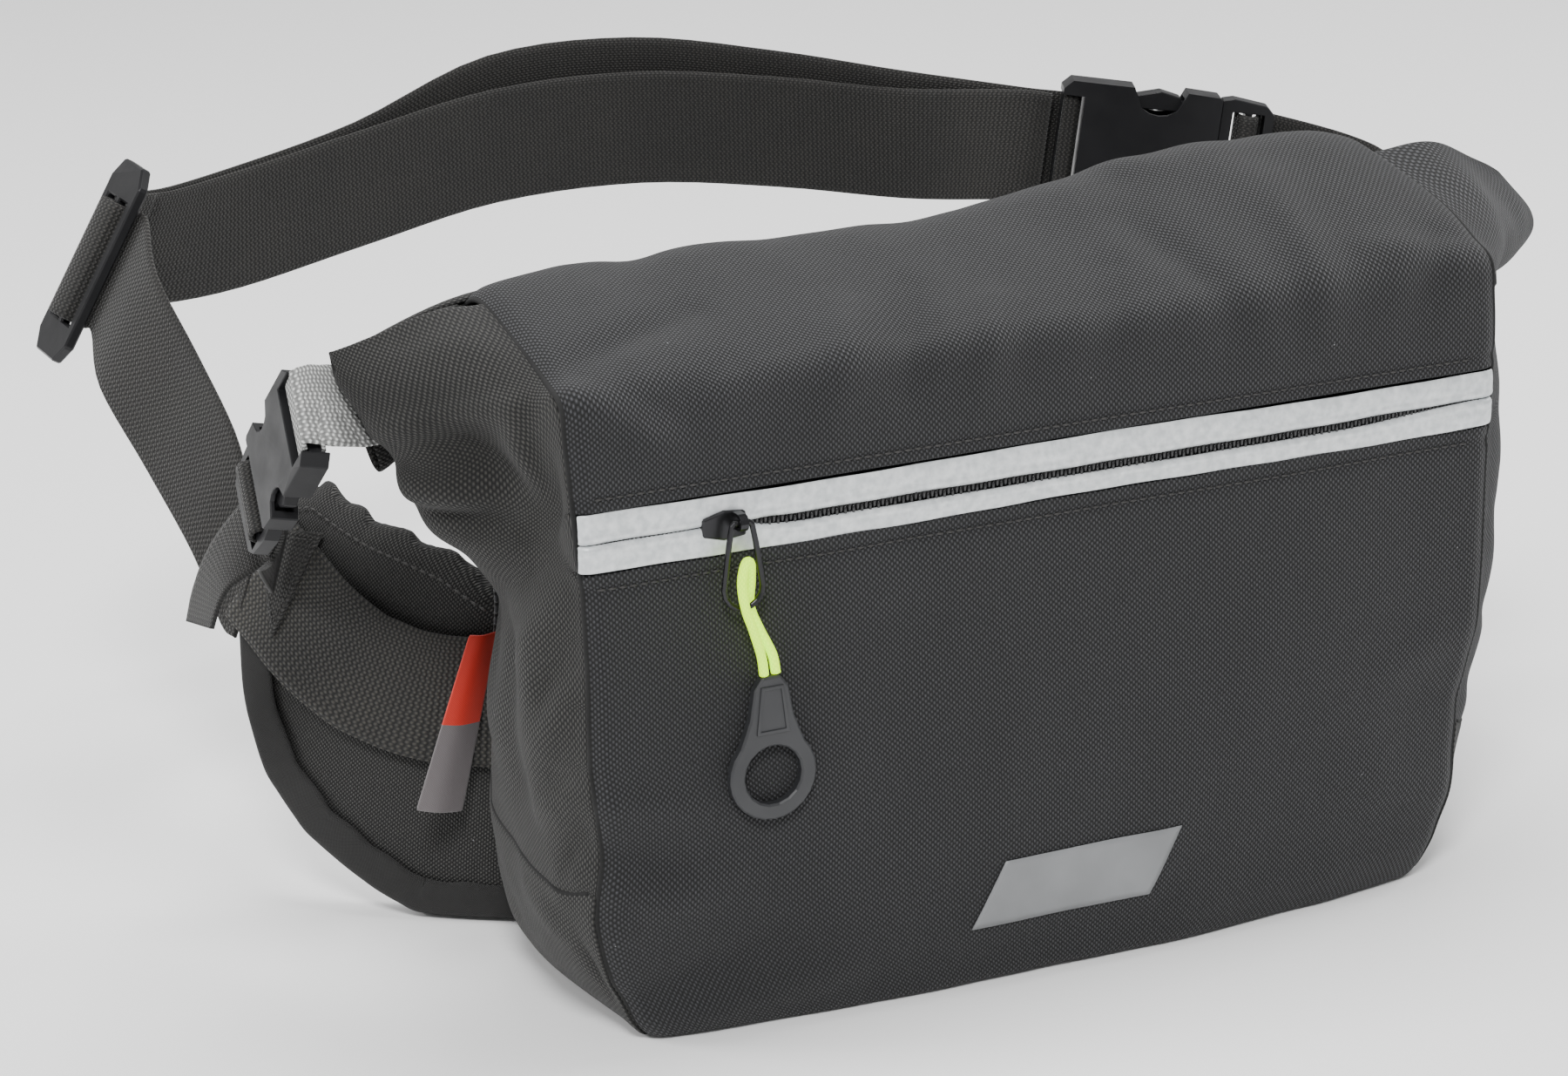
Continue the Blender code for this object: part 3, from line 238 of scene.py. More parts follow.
def oxford(name, dark, light, pitch=1.65, lint=True):
    """Coated plain-weave cloth of dark and light yarn, its pitch in mm."""
    f = Finish(name, light, 0.8, Sheen_Weight=0.06, Sheen_Roughness=0.5)
    u, v = f.uv()
    weave = f.waves(u, v, pitch * MM * 0.5, pitch * MM)
    crown = f.math("POWER", weave, 2.3)
    shade = f.span(f.noise(14.0, 3.0), 0.3, 0.7, 0.0, 0.22)
    base = f.mix(f.math("ADD", crown, f.math("MULTIPLY", shade, weave), clamp=True), dark, light)
    fleck = f.span(f.noise(900.0, 1.0), 0.35, 0.75, 0.8, 1.2)
    tint = f.nodes.new("ShaderNodeVectorMath")
    tint.operation = "SCALE"
    f.links.new(base, tint.inputs[0])
    f.links.new(fleck, tint.inputs["Scale"])
    shown = tint.outputs[0]
    if lint:
        shown = f.mix(f.specks(11 * MM, 0.20 * MM, 0.4), shown, (0.22, 0.22, 0.23))
    f.colour(shown)
    f.roughness(f.span(weave, 0.0, 1.0, 0.92, 0.62))
    f.bump(weave, 1.0, 0.5 * MM)
    f.bump(f.noise(160.0, 3.0), 0.12, 0.6 * MM)
    return f.material


def webbing(name, dark, light, across, along):
    """Woven tape: rows of yarn loops, in columns along its length, their spacing in mm."""
    f = Finish(name, light, 0.7, Sheen_Weight=0.1, Sheen_Roughness=0.4)
    u, v = f.uv()
    yarn = f.waves(u, v, across * MM, along * MM)
    rib = f.math("ABSOLUTE", f.math("SINE", f.math("MULTIPLY", v, math.pi / (along * MM))))
    loop = f.math("ADD", f.math("MULTIPLY", yarn, 0.6), f.math("MULTIPLY", rib, 0.4))
    worn = f.span(f.noise(45.0, 3.0), 0.35, 0.7, 0.0, 0.35)
    # Colour follows the loop height, dark in the valleys and light on the loop tops: painted shade and
    # highlight of the weave over the yarn's colour. Worn adds lighter loops at random.
    level = f.math("ADD", f.math("POWER", loop, 2.6), f.math("MULTIPLY", worn, loop), clamp=True)
    f.colour(f.mix(level, dark, light))
    f.roughness(f.span(loop, 0.0, 1.0, 0.9, 0.6))
    f.bump(loop, 1.0, 0.5 * MM)
    f.bump(f.noise(2500.0, 2.0), 0.2, 0.1 * MM)
    return f.material


def reflective_tape():
    f = Finish("reflective_tape", (0.62, 0.64, 0.65), 0.42, Metallic=0.25, Specular_IOR_Level=0.6)
    mottle = f.span(f.noise(420.0, 4.0), 0.35, 0.7)
    f.colour(f.mix(mottle, (0.50, 0.525, 0.535), (0.70, 0.72, 0.725)))
    f.roughness(f.span(f.noise(120.0, 2.0), 0.3, 0.7, 0.34, 0.52))
    f.bump(f.noise(700.0, 3.0), 0.25, 0.15 * MM)
    return f.material


def moulded(name, colour, roughness, grain=1500.0, strength=0.12, **sockets):
    """Moulded plastic or rubber with a fine spark-eroded grain and slightly polished wear."""
    f = Finish(name, colour, roughness, **sockets)
    cloud = f.noise(35.0, 3.0)
    dark, light = tuple(c * 0.86 for c in colour), tuple(c * 1.16 for c in colour)
    f.colour(f.mix(f.span(cloud, 0.3, 0.7), dark, light))
    f.roughness(f.span(f.noise(90.0, 4.0), 0.3, 0.7, roughness - 0.07, roughness + 0.08))
    f.bump(f.noise(grain, 2.0), strength, 0.12 * MM)
    return f.material


def neon_braid():
    f = Finish("neon_braid", (0.62, 1.0, 0.02), 0.55)
    # Emission makes the cord glow: painted glow that stands in for the bright light the yarn catches.
    f.shader.inputs["Emission Color"].default_value = (0.62, 1.0, 0.0, 1)
    f.shader.inputs["Emission Strength"].default_value = 1.4
    u, v = f.uv()
    plait = f.waves(u, v, 0.65 * MM, 1.5 * MM)
    f.colour(f.mix(plait, (0.28, 0.62, 0.0), (0.62, 0.98, 0.0)))
    f.bump(plait, 0.7, 0.25 * MM)
    return f.material


def woven_label():
    """Two-colour label: orange-red above, grey below, with no lettering."""
    f = Finish("woven_label", (0.7, 0.06, 0.02), 0.62, Sheen_Weight=0.2)
    u, v = f.uv()
    thread = f.waves(u, v, 0.35 * MM, 0.5 * MM)
    red = f.mix(thread, (0.42, 0.012, 0.003), (0.72, 0.030, 0.008))
    grey = f.mix(thread, (0.10, 0.088, 0.090), (0.16, 0.145, 0.150))
    f.colour(f.mix(f.math("LESS_THAN", v, 0.0), red, grey))
    f.bump(thread, 0.35, 0.12 * MM)
    return f.material


def air_mesh():
    """Spacer mesh with rows of small holes."""
    f = Finish("air_mesh", (0.03, 0.03, 0.032), 0.8, Sheen_Weight=0.25)
    u, v = f.uv()
    cells = f.waves(u, v, 1.6 * MM, 3.4 * MM)
    hole = f.span(cells, 0.05, 0.30)
    f.colour(f.mix(hole, (0.004, 0.004, 0.004), (0.045, 0.045, 0.048)))
    f.bump(hole, 1.0, 0.7 * MM)
    f.bump(f.noise(900.0, 2.0), 0.2, 0.15 * MM)
    return f.material


def make_finishes():
    return {
        "front": oxford("oxford_front", (0.0012, 0.0013, 0.0017), (0.044, 0.045, 0.051)),
        # The side cloth is the body cloth in darker yarn colours: painted shade, so that the left side, lit
        # hard by the key light, looks as dark as the front.
        "side": oxford("oxford_side_shaded", (0.0010, 0.0010, 0.0008), (0.038, 0.0362, 0.0310)),
        "wing": oxford("oxford_wing", (0.0006, 0.0006, 0.0006), (0.050, 0.0480, 0.0430), 1.3),
        "lining": oxford("lining", (0.05, 0.05, 0.055), (0.10, 0.10, 0.11), 0.6, lint=False),
        "web": webbing("web_black", (0.0004, 0.0004, 0.0003), (0.023, 0.0205, 0.0165), 0.85, 1.6),
        "web_wing": webbing("web_wing", (0.0003, 0.0003, 0.0002), (0.038, 0.0345, 0.0265), 1.05, 1.9),
        "web_narrow": webbing("web_narrow", (0.0006, 0.0006, 0.0005), (0.022, 0.0198, 0.016), 0.75, 1.4),
        "web_grey": webbing("web_grey", (0.11, 0.11, 0.108), (0.70, 0.71, 0.69), 1.3, 1.5),
        "binding": oxford("binding_tape", (0.003, 0.0027, 0.0022), (0.0095, 0.0087, 0.0072), 0.5, False),
        "tape": reflective_tape(),
        "print": moulded("print_ink", (0.185, 0.19, 0.195), 0.45, grain=600.0, strength=0.2),
        "coil": moulded("coil_nylon", (0.004, 0.004, 0.0045), 0.5),
        "teeth": moulded("coil_teeth", (0.014, 0.014, 0.015), 0.25),
        "metal": moulded("black_nickel", (0.03, 0.03, 0.032), 0.32, grain=900.0, Metallic=0.85),
        "rubber": moulded("ring_rubber", (0.022, 0.0228, 0.025), 0.50, grain=700.0, strength=0.2),
        "plastic": moulded("buckle_acetal", (0.011, 0.011, 0.0120), 0.36, Specular_IOR_Level=0.22),
        "neon": neon_braid(),
        "label": woven_label(),
        "mesh": air_mesh(),
        "thread": moulded("thread", (0.026, 0.025, 0.024), 0.6),
        "seam": moulded("seam_shadow", (0.004, 0.004, 0.004), 0.9),
        "board": moulded("board_sheet", (0.012, 0.012, 0.013), 0.6),
    }


# ---------------------------------------------------------------- curves and surfaces
def spline(points, steps):
    """Catmull-Rom refinement of an array along its first axis."""
    p = np.asarray(points, float)
    p = np.concatenate([2 * p[:1] - p[1:2], p, 2 * p[-1:] - p[-2:-1]])
    t = np.linspace(0, 1, steps, endpoint=False).reshape((-1,) + (1,) * (p.ndim - 1))
    parts = []
    for k in range(1, len(p) - 2):
        a, b, c, d = p[k - 1 : k + 3]
        bend = (2 * a - 5 * b + 4 * c - d) * t**2 + (3 * b - a - 3 * c + d) * t**3
        parts.append(0.5 * (2 * b + (c - a) * t + bend))
    parts.append(p[-2:-1])
    return np.concatenate(parts)


def loft(rows, row_steps, column_steps):
    """Fine grid through a coarse one."""
    fine = spline(np.asarray(rows, float), row_steps)
    return spline(fine.transpose(1, 0, 2), column_steps).transpose(1, 0, 2)


def along(table, value):
    return float(np.interp(value, [a for a, _ in table], [b for _, b in table]))


def ease(value):
    value = np.clip(value, 0.0, 1.0)
    return value * value * (3.0 - 2.0 * value)


def unit(vectors):
    return vectors / np.maximum(np.linalg.norm(vectors, axis=-1, keepdims=True), 1e-12)


def grid_normals(grid, outward):
    """Unit normals of a grid, turned to the side of the outward direction."""
    down = np.gradient(grid, axis=0)
    side = np.gradient(grid, axis=1)
    normals = unit(np.cross(side, down))
    if (normals @ np.asarray(outward, float)).sum() < 0:
        normals = -normals
    return normals


def dent(values, middle, width):
    """Bell curve of height one round the middle."""
    return np.exp(-(((values - middle) / width) ** 2))


def ripple(grid, normals, height, size, seed, stretch=(1, 1, 1)):
    """Gentle random unevenness of cloth."""
    flat = grid.reshape(-1, 3) * np.asarray(stretch) / size + seed * 7.31
    lift = np.array([noise.noise(Vector(p)) for p in flat]).reshape(grid.shape[:2])
    return grid + normals * (height * lift)[..., None]


def crease(grid, normals, folds, outward):
    """Folds as (start, end, width, height) in mm, seen along the outward direction; a valley is negative."""
    moved = grid.copy()
    outward = unit(np.asarray(outward, float))
    flat = grid - (grid @ outward)[..., None] * outward
    for start, end, width, height in folds:
        a, b = (np.array(spot) * MM for spot in (start, end))
        a, b = a - outward * (a @ outward), b - outward * (b @ outward)
        run = b - a
        share = np.clip(((flat - a) @ run) / (run @ run), 0, 1)
        gap = np.linalg.norm(flat - (a + share[..., None] * run), axis=-1)
        taper = 0.35 + 0.65 * np.sin(np.pi * np.clip(share * 0.8 + 0.1, 0, 1))
        moved += normals * (height * MM * taper * dent(gap, 0, width * MM))[..., None]
    return moved


def distances(path):
    """Distance run along a path at each of its points."""
    return np.concatenate([[0.0], np.cumsum(np.linalg.norm(np.diff(path, axis=0), axis=1))])


def lengths(grid, axis):
    """Mean distance run along one axis of a grid, centred on zero."""
    run = np.linalg.norm(np.diff(grid, axis=axis), axis=-1).mean(axis=1 - axis)
    run = np.concatenate([[0.0], np.cumsum(run)])
    return run - run[-1] / 2


def set_uvs(mesh, uvs):
    layer = mesh.uv_layers.new(name="cloth")
    corners = np.array([loop.vertex_index for loop in mesh.loops])
    layer.data.foreach_set("uv", np.asarray(uvs, np.float32)[corners].ravel())


def ring_faces(rings, sides, base=0, caps=True):
    """Quads between rings of points that follow each other, with both ends closed by caps."""
    faces = []
    for low in range(base, base + (rings - 1) * sides, sides):
        for q in range(sides):
            after = (q + 1) % sides
            faces.append((low + q, low + after, low + sides + after, low + sides + q))
    if caps:
        last = base + (rings - 1) * sides
        faces += [tuple(range(base + sides - 1, base - 1, -1)), tuple(range(last, last + sides))]
    return faces


def add_object(name, points, faces, material, uvs=None):
    mesh = bpy.data.meshes.new(name)
    mesh.from_pydata(np.asarray(points).tolist(), [], faces)
    if uvs is not None:
        set_uvs(mesh, uvs)
    mesh.materials.append(material)
    mesh.shade_smooth()
    obj = bpy.data.objects.new(name, mesh)
    bpy.context.scene.collection.objects.link(obj)
    return obj


def add_closed(name, points, faces, material, uvs=None):
    """An object whose faces are turned outward once it is made."""
    obj = add_object(name, points, faces, material, uvs)
    shape = bmesh.new()
    shape.from_mesh(obj.data)
    bmesh.ops.recalc_face_normals(shape, faces=shape.faces)
    shape.to_mesh(obj.data)
    shape.free()
    return obj


def subdivide(obj, levels=1):
    smooth = obj.modifiers.new("smooth", "SUBSURF")
    smooth.levels = smooth.render_levels = levels


def cloth(name, grid, material, outward, thickness=1.2 * MM, levels=1):
    """A sheet of cloth whose inner face is the grid. Its faces look inward, so it thickens outward."""
    rows, columns = grid.shape[:2]
    i, j = np.meshgrid(np.arange(rows - 1), np.arange(columns - 1), indexing="ij")
    a = (i * columns + j).ravel()
    faces = np.stack([a, a + 1, a + columns + 1, a + columns], axis=1)
    normals = unit(np.cross(np.gradient(grid, axis=1), np.gradient(grid, axis=0)))
    if (normals @ np.asarray(outward, float)).sum() >= 0:
        faces = faces[:, ::-1]
    u, v = np.meshgrid(lengths(grid, 1), lengths(grid, 0))
    uvs = np.stack([u.ravel(), v.ravel()], axis=1)
    obj = add_object(name, grid.reshape(-1, 3), faces.tolist(), material, uvs)
    solid = obj.modifiers.new("thickness", "SOLIDIFY")
    solid.thickness, solid.offset = thickness, -1.0
    if levels:
        subdivide(obj, levels)
    return obj


def bag_piece(obj, slot, *nodes, body="bag"):
    """Fixes a piece to its body, and names the CAD nodes that it replaces. Its slot is not used."""
    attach(obj, body)
    if nodes:
        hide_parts(*nodes)
    return obj


def tape_section(width, thickness, crown=0.0):
    """Rounded cross-section of webbing, as (across, out) pairs."""
    half, t = width / 2, thickness / 2
    spots = np.linspace(-1, 1, 15)
    top = [(half * s * 0.985, t + crown * (1 - s * s)) for s in spots]
    low = [(half * s * 0.985, -t + crown * (1 - s * s)) for s in spots[::-1]]
    return top + [(half, 0.0)] + low + [(-half, 0.0)]


def ribbon(name, stations, width, thickness, material, crown=0.0):
    """Webbing through (centre, across) stations, with rounded edges and its length as UV."""
    centres = np.array([tuple(c) for c, _ in stations])
    across = unit(np.array([tuple(a) for _, a in stations]))
    normal = unit(np.cross(np.gradient(centres, axis=0), across))
    section = tape_section(width, thickness, crown)
    points, uvs = [], []
    for centre, side, out, distance in zip(centres, across, normal, distances(centres)):
        for x, y in section:
            points.append(centre + side * x + out * y)
            uvs.append((x, distance))
    return add_closed(name, points, ring_faces(len(centres), len(section)), material, uvs)


def smooth_web(stations, steps):
    centres = spline([tuple(c) for c, _ in stations], steps)
    acrosses = spline([tuple(a) for _, a in stations], steps)
    return [(Vector(c), Vector(a)) for c, a in zip(centres, acrosses)]


def tube(name, path, radius, material, sides=8, hint=(0.3, 0.9, 0.31)):
    """Round line along a path, with its length as UV. The hint is any direction away from its start."""
    path = np.asarray(path, float)
    run = unit(np.gradient(path, axis=0))
    side = unit(np.cross(run[0], hint))
    points, uvs = [], []
    for spot, ahead, distance in zip(path, run, distances(path)):
        side = unit(side - ahead * (side @ ahead))
        other = np.cross(ahead, side)
        for q in range(sides):
            turn = 2 * math.pi * q / sides
            points.append(spot + radius * (side * math.cos(turn) + other * math.sin(turn)))
            uvs.append((radius * (turn if turn < math.pi else 2 * math.pi - turn), distance))
    return add_closed(name, points, ring_faces(len(path), sides), material, uvs)


def stitches(name, path, normals, material, pitch=3.1 * MM, radius=0.24 * MM):
    """A row of thread: one small spindle for each stitch along the path."""
    path = np.asarray(path, float)
    run = distances(path)
    normals = unit(np.broadcast_to(np.asarray(normals, float), path.shape))

    def at(distance):
        spot = np.array([np.interp(distance, run, axis) for axis in path.T])
        lift = np.array([np.interp(distance, run, axis) for axis in normals.T])
        return spot, unit(lift)

    points, faces = [], []
    for k in range(int(run[-1] / pitch)):
        start, end = k * pitch, (k + STITCH_SHARE) * pitch
        (a, up), (b, _), (middle, _) = at(start), at(end), at((start + end) / 2)
        side = np.cross(up, unit(b - a))
        faces += ring_faces(3, 6, len(points))
        for spot, scale, rise in ((a, 0.55, 0.0), (middle, 1.0, 0.10 * MM), (b, 0.55, 0.0)):
            for turn in np.arange(6) * np.pi / 3:
                offset = side * math.cos(turn) + up * math.sin(turn)
                points.append(spot + offset * radius * scale + up * rise)
    bag_piece(add_object(name, points, faces, material), "black_webbing")


def local_frame(origin, axis, across):
    x = Vector(axis).normalized()
    y = Vector(across)
    y = (y - x * y.dot(x)).normalized()
    turned = Matrix((x, y, x.cross(y))).transposed().to_4x4()
    return Matrix.Translation(Vector(origin)) @ turned


# ---------------------------------------------------------------- bag body
def crest_rise(x):
    """Height of the top above its mean line: it swells towards the right."""
    spread = np.where(np.asarray(x) < 0.098, 0.066, 0.050)
    return 0.0105 * np.exp(-(((np.asarray(x) - 0.098) / spread) ** 2))


FRONT_PROFILE = [
    (-38, 0.2), (-43.5, 0.4), (-46.8, 2.0), (-48.6, 8), (-50.2, 20), (-51.2, 34),
    (-52.6, 60), (-53.2, 82), (-53.0, 112), (-52.5, 134), (-52.3, 141.4),
]
SWELL = [(0.0, 0.0105), (0.02, 0.0088), (0.06, 0.0062), (0.09, 0.0040), (0.125, 0.0012), (0.142, 0.0)]


def packed_shares(count):
    """Positions from -1 to 1, closer together towards both ends."""
    even = np.linspace(-1, 1, count)
    return 0.5 * even + 0.5 * np.sin(even * math.pi / 2)


def rumple(grid, normals, waves, folds, outward):
    """Cloth's unevenness: random waves as (height, size, seed, stretch), then its folds."""
    for height, size, seed, stretch in waves:
        grid = ripple(grid, normals, height, size, seed, stretch)
    return crease(grid, normals, folds, outward)


LOWER_FOLDS = [
    ((-142, -52, 76), (-116, -54, 70), 4, 1.8), ((-142, -52, 63), (-122, -54, 55), 4, -1.8),
    ((-141, -51, 50), (-118, -54, 44), 4, 1.8), ((-141, -50, 36), (-104, -54, 48), 7, 1.6),
    ((-137, -49, 16), (-96, -54, 27), 6, -1.8), ((-128, -48, 5), (-70, -56, 15), 6, 1.8),
    ((-60, -58, 8), (30, -60, 13), 7, -1.2), ((40, -58, 14), (120, -50, 9), 7, 1.3),
    ((141, -52, 80), (110, -54, 74), 6, 1.4), ((140, -52, 56), (116, -54, 62), 5, -1.4),
    ((138, -50, 26), (96, -54, 42), 8, 2.0), ((-90, -54, 118), (-20, -54, 126), 9, 0.9),
]


def front_lower(finish):
    profile = spline(np.array(FRONT_PROFILE) * MM, 7)
    shares = packed_shares(121)
    grid = np.zeros((len(profile), len(shares), 3))
    for i, (y, z) in enumerate(profile):
        half = np.where(shares < 0, along(SEAM, z), along(RIGHT_SEAM, z))
        low = ease((y + 0.036) / -0.008)
        pillow = along(SWELL, z) * (1 - np.abs(shares) ** 2.2) * low
        edge = half * (1 - np.abs(shares))
        grid[i, :, 0] = shares * half
        grid[i, :, 1] = y - pillow + EDGE_DIP * dent(edge, 0, EDGE_WIDTH)
        grid[i, :, 2] = z
    normals = grid_normals(grid, (0, -1, 0))
    waves = ((1.4 * MM, 0.050, 1, (1, 1, 0.7)), (0.5 * MM, 0.017, 2, (1, 1, 0.6)))
    grid = rumple(grid, normals, waves, LOWER_FOLDS, (0, -1, 0))
    grid += normals * (-STITCH_VALLEY * dent(grid[..., 2], 0.1369, 0.0016))[..., None]
    grid[..., 2] = np.maximum(grid[..., 2], 1.35 * MM)
    obj = cloth("front_lower", grid, finish["front"], (0, -1, 0), BODY_CLOTH)
    bag_piece(obj, "body_fabric", "front_panel_lower")
    return grid


def top_profile(x):
    """(Y, Z) of the top from the zip over the crest and round the rolled mouth, at x."""
    rise = 1000 * float(crest_rise(x))
    crest = 207.6 + rise - 1.6 * max(0.0, (abs(x) - 0.128) / 0.019) ** 2
    if x > 0:
        crest += 3.2 * float(ease((x - 0.10) / 0.04))
    droop = 3.8 * float(ease((-x - 0.116) / 0.028))
    return [
        (-52.4, 158.6),
        (-52.0, 167),
        (-50.8, 178),
        (-47.8, 188.5 + 0.10 * (crest - 207.6)),
        (-39, 193.4 + 0.3 * (crest - 207.6)),
        (-27, 197.6 + 0.5 * (crest - 207.6)),
        (-12, 202.0 + 0.75 * (crest - 207.6)),
        (3, 206.0 + 0.95 * (crest - 207.6)),
        (13, crest - 0.3 * droop),
        (22.5, crest - 1.6 - droop),
        (32, crest - 8.0 - 0.7 * droop),
        (39, crest - 17.5),
        (44.0, crest - 28.0),
        (43.6, crest - 33.5),
        (38.5, crest - 34.5),
        (34, crest - 31.0),
    ]


TOP_FOLDS = [
    ((-147, -46, 189), (-118, -50, 170), 5, 2.2), ((-140, -36, 194), (-98, -20, 201), 6, -2.0),
    ((-132, -50, 178), (-96, -44, 190), 5, -1.8), ((-70, -50, 174), (-52, -30, 197), 7, 2.2),
    ((-46, -49, 180), (-30, -24, 199), 6, -2.2), ((-22, -50, 176), (-10, -34, 195), 6, 2.0),
    ((16, -50, 172), (28, -30, 197), 7, -1.8), ((58, -48, 184), (44, -10, 206), 7, -1.8),
    ((88, -49, 178), (96, -8, 210), 8, 2.2), ((120, -50, 174), (134, -38, 194), 6, -2.0),
    ((146, -46, 190), (110, -40, 194), 6, 2.0), ((-110, 10, 206), (-90, 34, 198), 7, -1.6),
    ((-20, 12, 208), (0, 36, 196), 8, -1.8), ((66, 12, 214), (50, 38, 200), 8, 1.8),
]


def front_top(finish):
    shares = packed_shares(121)
    columns = [spline(np.array(top_profile(s * 0.147)) * MM, 6) for s in shares]
    grid = np.zeros((len(columns[0]), len(shares), 3))
    for j, (share, column) in enumerate(zip(shares, columns)):
        for i, (y, z) in enumerate(column):
            table = SEAM if share < 0 else RIGHT_SEAM
            half = along(table, z) if y < -0.046 else 0.147
            if share > 0:
                half -= 6.5 * MM * float(ease((y + 0.030) / 0.040))
            dip = EDGE_DIP * dent(half * (1 - abs(share)), 0, EDGE_WIDTH)
            lean = ease((z - 0.176) / 0.02)
            grid[i, j] = (share * half, y + dip * (1 - lean), z - dip * lean)
    normals = grid_normals(grid, (0, -1, 1))
    calm = ease((grid[..., 2] - 0.158) / 0.02)[..., None]
    waves = ((1.9 * MM, 0.045, 3, (1, 0.6, 0.6)), (0.7 * MM, 0.016, 4, (1, 0.5, 0.5)))
    wavy = rumple(grid, normals, waves, TOP_FOLDS, (0, -0.6, 0.8))
    grid = grid + (wavy - grid) * calm
    sunk = -STITCH_VALLEY * dent(grid[..., 2], 0.1624, 0.0016) * (grid[..., 1] < 0)
    grid += normals * sunk[..., None]
    obj = cloth("front_top", grid, finish["front"], (0, -0.3, 1), BODY_CLOTH)
    bag_piece(obj, "body_fabric", "front_panel_upper")
    return grid


def seam_lines(finish, lower, upper):
    """Near-black tube sunk where the front cloth meets each side: painted shadow of the seam."""
    for name, column in (("left", 0), ("right", -1)):
        path = np.concatenate([lower[14:, column], upper[:60, column]])
        path += np.array(((1 if column else -1) * 0.4, -0.5, 0.5)) * MM * (path[:, 2:] > 0.01)
        bag_piece(tube("seam_" + name, path, 0.8 * MM, finish["seam"]), "body_fabric")


def front_print(finish):
    """Blank reflective band low on the front."""
    low, high = 0.0183, 0.0378
    grid = np.zeros((11, 33, 3))
    for i, z in enumerate(np.linspace(low, high, 11)):
        for j, share in enumerate(np.linspace(0, 1, 33)):
            x = -0.0320 + (z - low) * 0.55 + 0.0580 * share
            grid[i, j] = (x, front_depth(x, z) - 0.22 * MM, z)
    obj = cloth("front_print", grid, finish["print"], (0, -1, 0), 0.25 * MM, levels=0)
    bag_piece(obj, "reflective", "front_patch")


def front_depth(x, z):
    """Y of the front cloth at x and z, found by a ray from outside."""
    depsgraph = bpy.context.evaluated_depsgraph_get()
    for skin in ("front_lower", "front_top"):
        shape = bpy.data.objects[skin].evaluated_get(depsgraph)
        hit, place, _, _ = shape.ray_cast(Vector((x, -0.2, z)), Vector((0, 1, 0)))
        if hit and place.y < 0:
            return place.y
    return -0.0525


# Rows of each side in millimetres, bottom to top: front seam, half way, outer fold, half way, back seam.
LEFT_ROWS = [
    [(-125.5, -45.5, 0.8), (-128, -24, 0.8), (-129.5, 0, 0.8), (-129, 25, 0.8), (-124, 48, 1)],
    [(-135, -48.6, 13), (-139, -26, 13), (-140.5, 0, 13), (-137, 27, 14), (-128, 48.5, 15)],
    [(-140.7, -50, 27), (-146, -30, 27), (-146, -2, 28), (-141, 25, 29), (-131, 49, 31)],
    [(-142.3, -51, 50), (-149, -32, 50), (-148.5, -3, 53), (-143.5, 24, 56), (-133.5, 50, 57)],
    [(-144, -52, 84), (-152, -33, 84), (-151, -4, 85), (-139, 26, 88), (-130, 50, 90)],
    [(-143.8, -51.5, 112), (-152, -33, 112), (-148.5, -5, 113), (-134.5, 26, 111), (-125, 49, 110)],
    [(-144.2, -51.2, 135), (-151.5, -33, 133), (-157, -5, 134), (-143, 22, 129), (-127, 47, 126)],
    [(-145.5, -50.6, 150), (-148, -31, 146), (-167, -4, 145), (-156, 16, 143), (-133, 40, 146)],
    [(-146.2, -49.8, 164), (-146.5, -30, 157), (-174.5, -5, 158.5), (-164, 10, 157), (-139, 30, 164)],
    [(-147, -46.5, 185), (-154, -30, 174), (-175, -4, 166.5), (-168, 11.5, 168), (-147, 20, 180)],
    [(-147, -34, 193.5), (-163, -20, 186), (-184, 0, 177), (-174, 14, 180), (-150, 18, 190)],
    [(-147, -14, 200.5), (-168, -6, 195), (-191.5, 6, 188.5), (-177, 15, 190), (-150, 17.5, 197)],
    [(-147, 6, 206), (-169, 8, 201.5), (-193, 9, 195.5), (-178, 15, 196), (-151, 17, 202)],
]
RIGHT_ROWS = [
    [(125.5, -45.5, 0.8), (129, -30, 0.8), (130, 0, 0.8), (129, 25, 0.8), (124, 48, 1)],
    [(131, -48.6, 13), (138, -34, 13), (141, 0, 13), (137, 27, 14), (128, 48.5, 15)],
    [(134, -50, 27), (142, -36, 27), (146, -2, 28), (141, 25, 29), (131, 49, 31)],
    [(137, -51, 50), (146, -37, 50), (149, -3, 53), (144, 24, 56), (133.5, 50, 57)],
    [(142.8, -52, 84), (152.5, -38, 84), (153, -4, 85), (140, 26, 88), (130, 50, 90)],
    [(144.2, -51.5, 112), (155.0, -38, 112), (153, -5, 113), (136, 26, 111), (125, 49, 110)],
    [(145, -51.2, 135), (156.6, -38, 133), (159, -5, 134), (144, 22, 129), (127, 47, 126)],
    [(145.7, -50.6, 150), (156.5, -38, 148), (163, -4, 147), (155, 16, 145), (133, 40, 146)],
    [(146.2, -49.8, 164), (156.0, -37, 162), (168, -4, 161.5), (163, 12, 162), (139, 30, 164)],
    [(147, -46.5, 185), (156, -34, 178), (178, 5, 170.5), (172, 14, 172), (147, 20, 182)],
    [(147, -34, 196), (166, -22, 190.5), (198.5, 11, 176.5), (182, 16, 181), (150, 18, 194)],
    [(147, -14, 205), (172, -3, 202), (203, 13, 184), (186, 17, 188), (150, 18, 202)],
    [(147, 8, 213.5), (170, 11, 209.5), (190, 13, 199), (180, 17, 199), (151, 17, 207)],
]


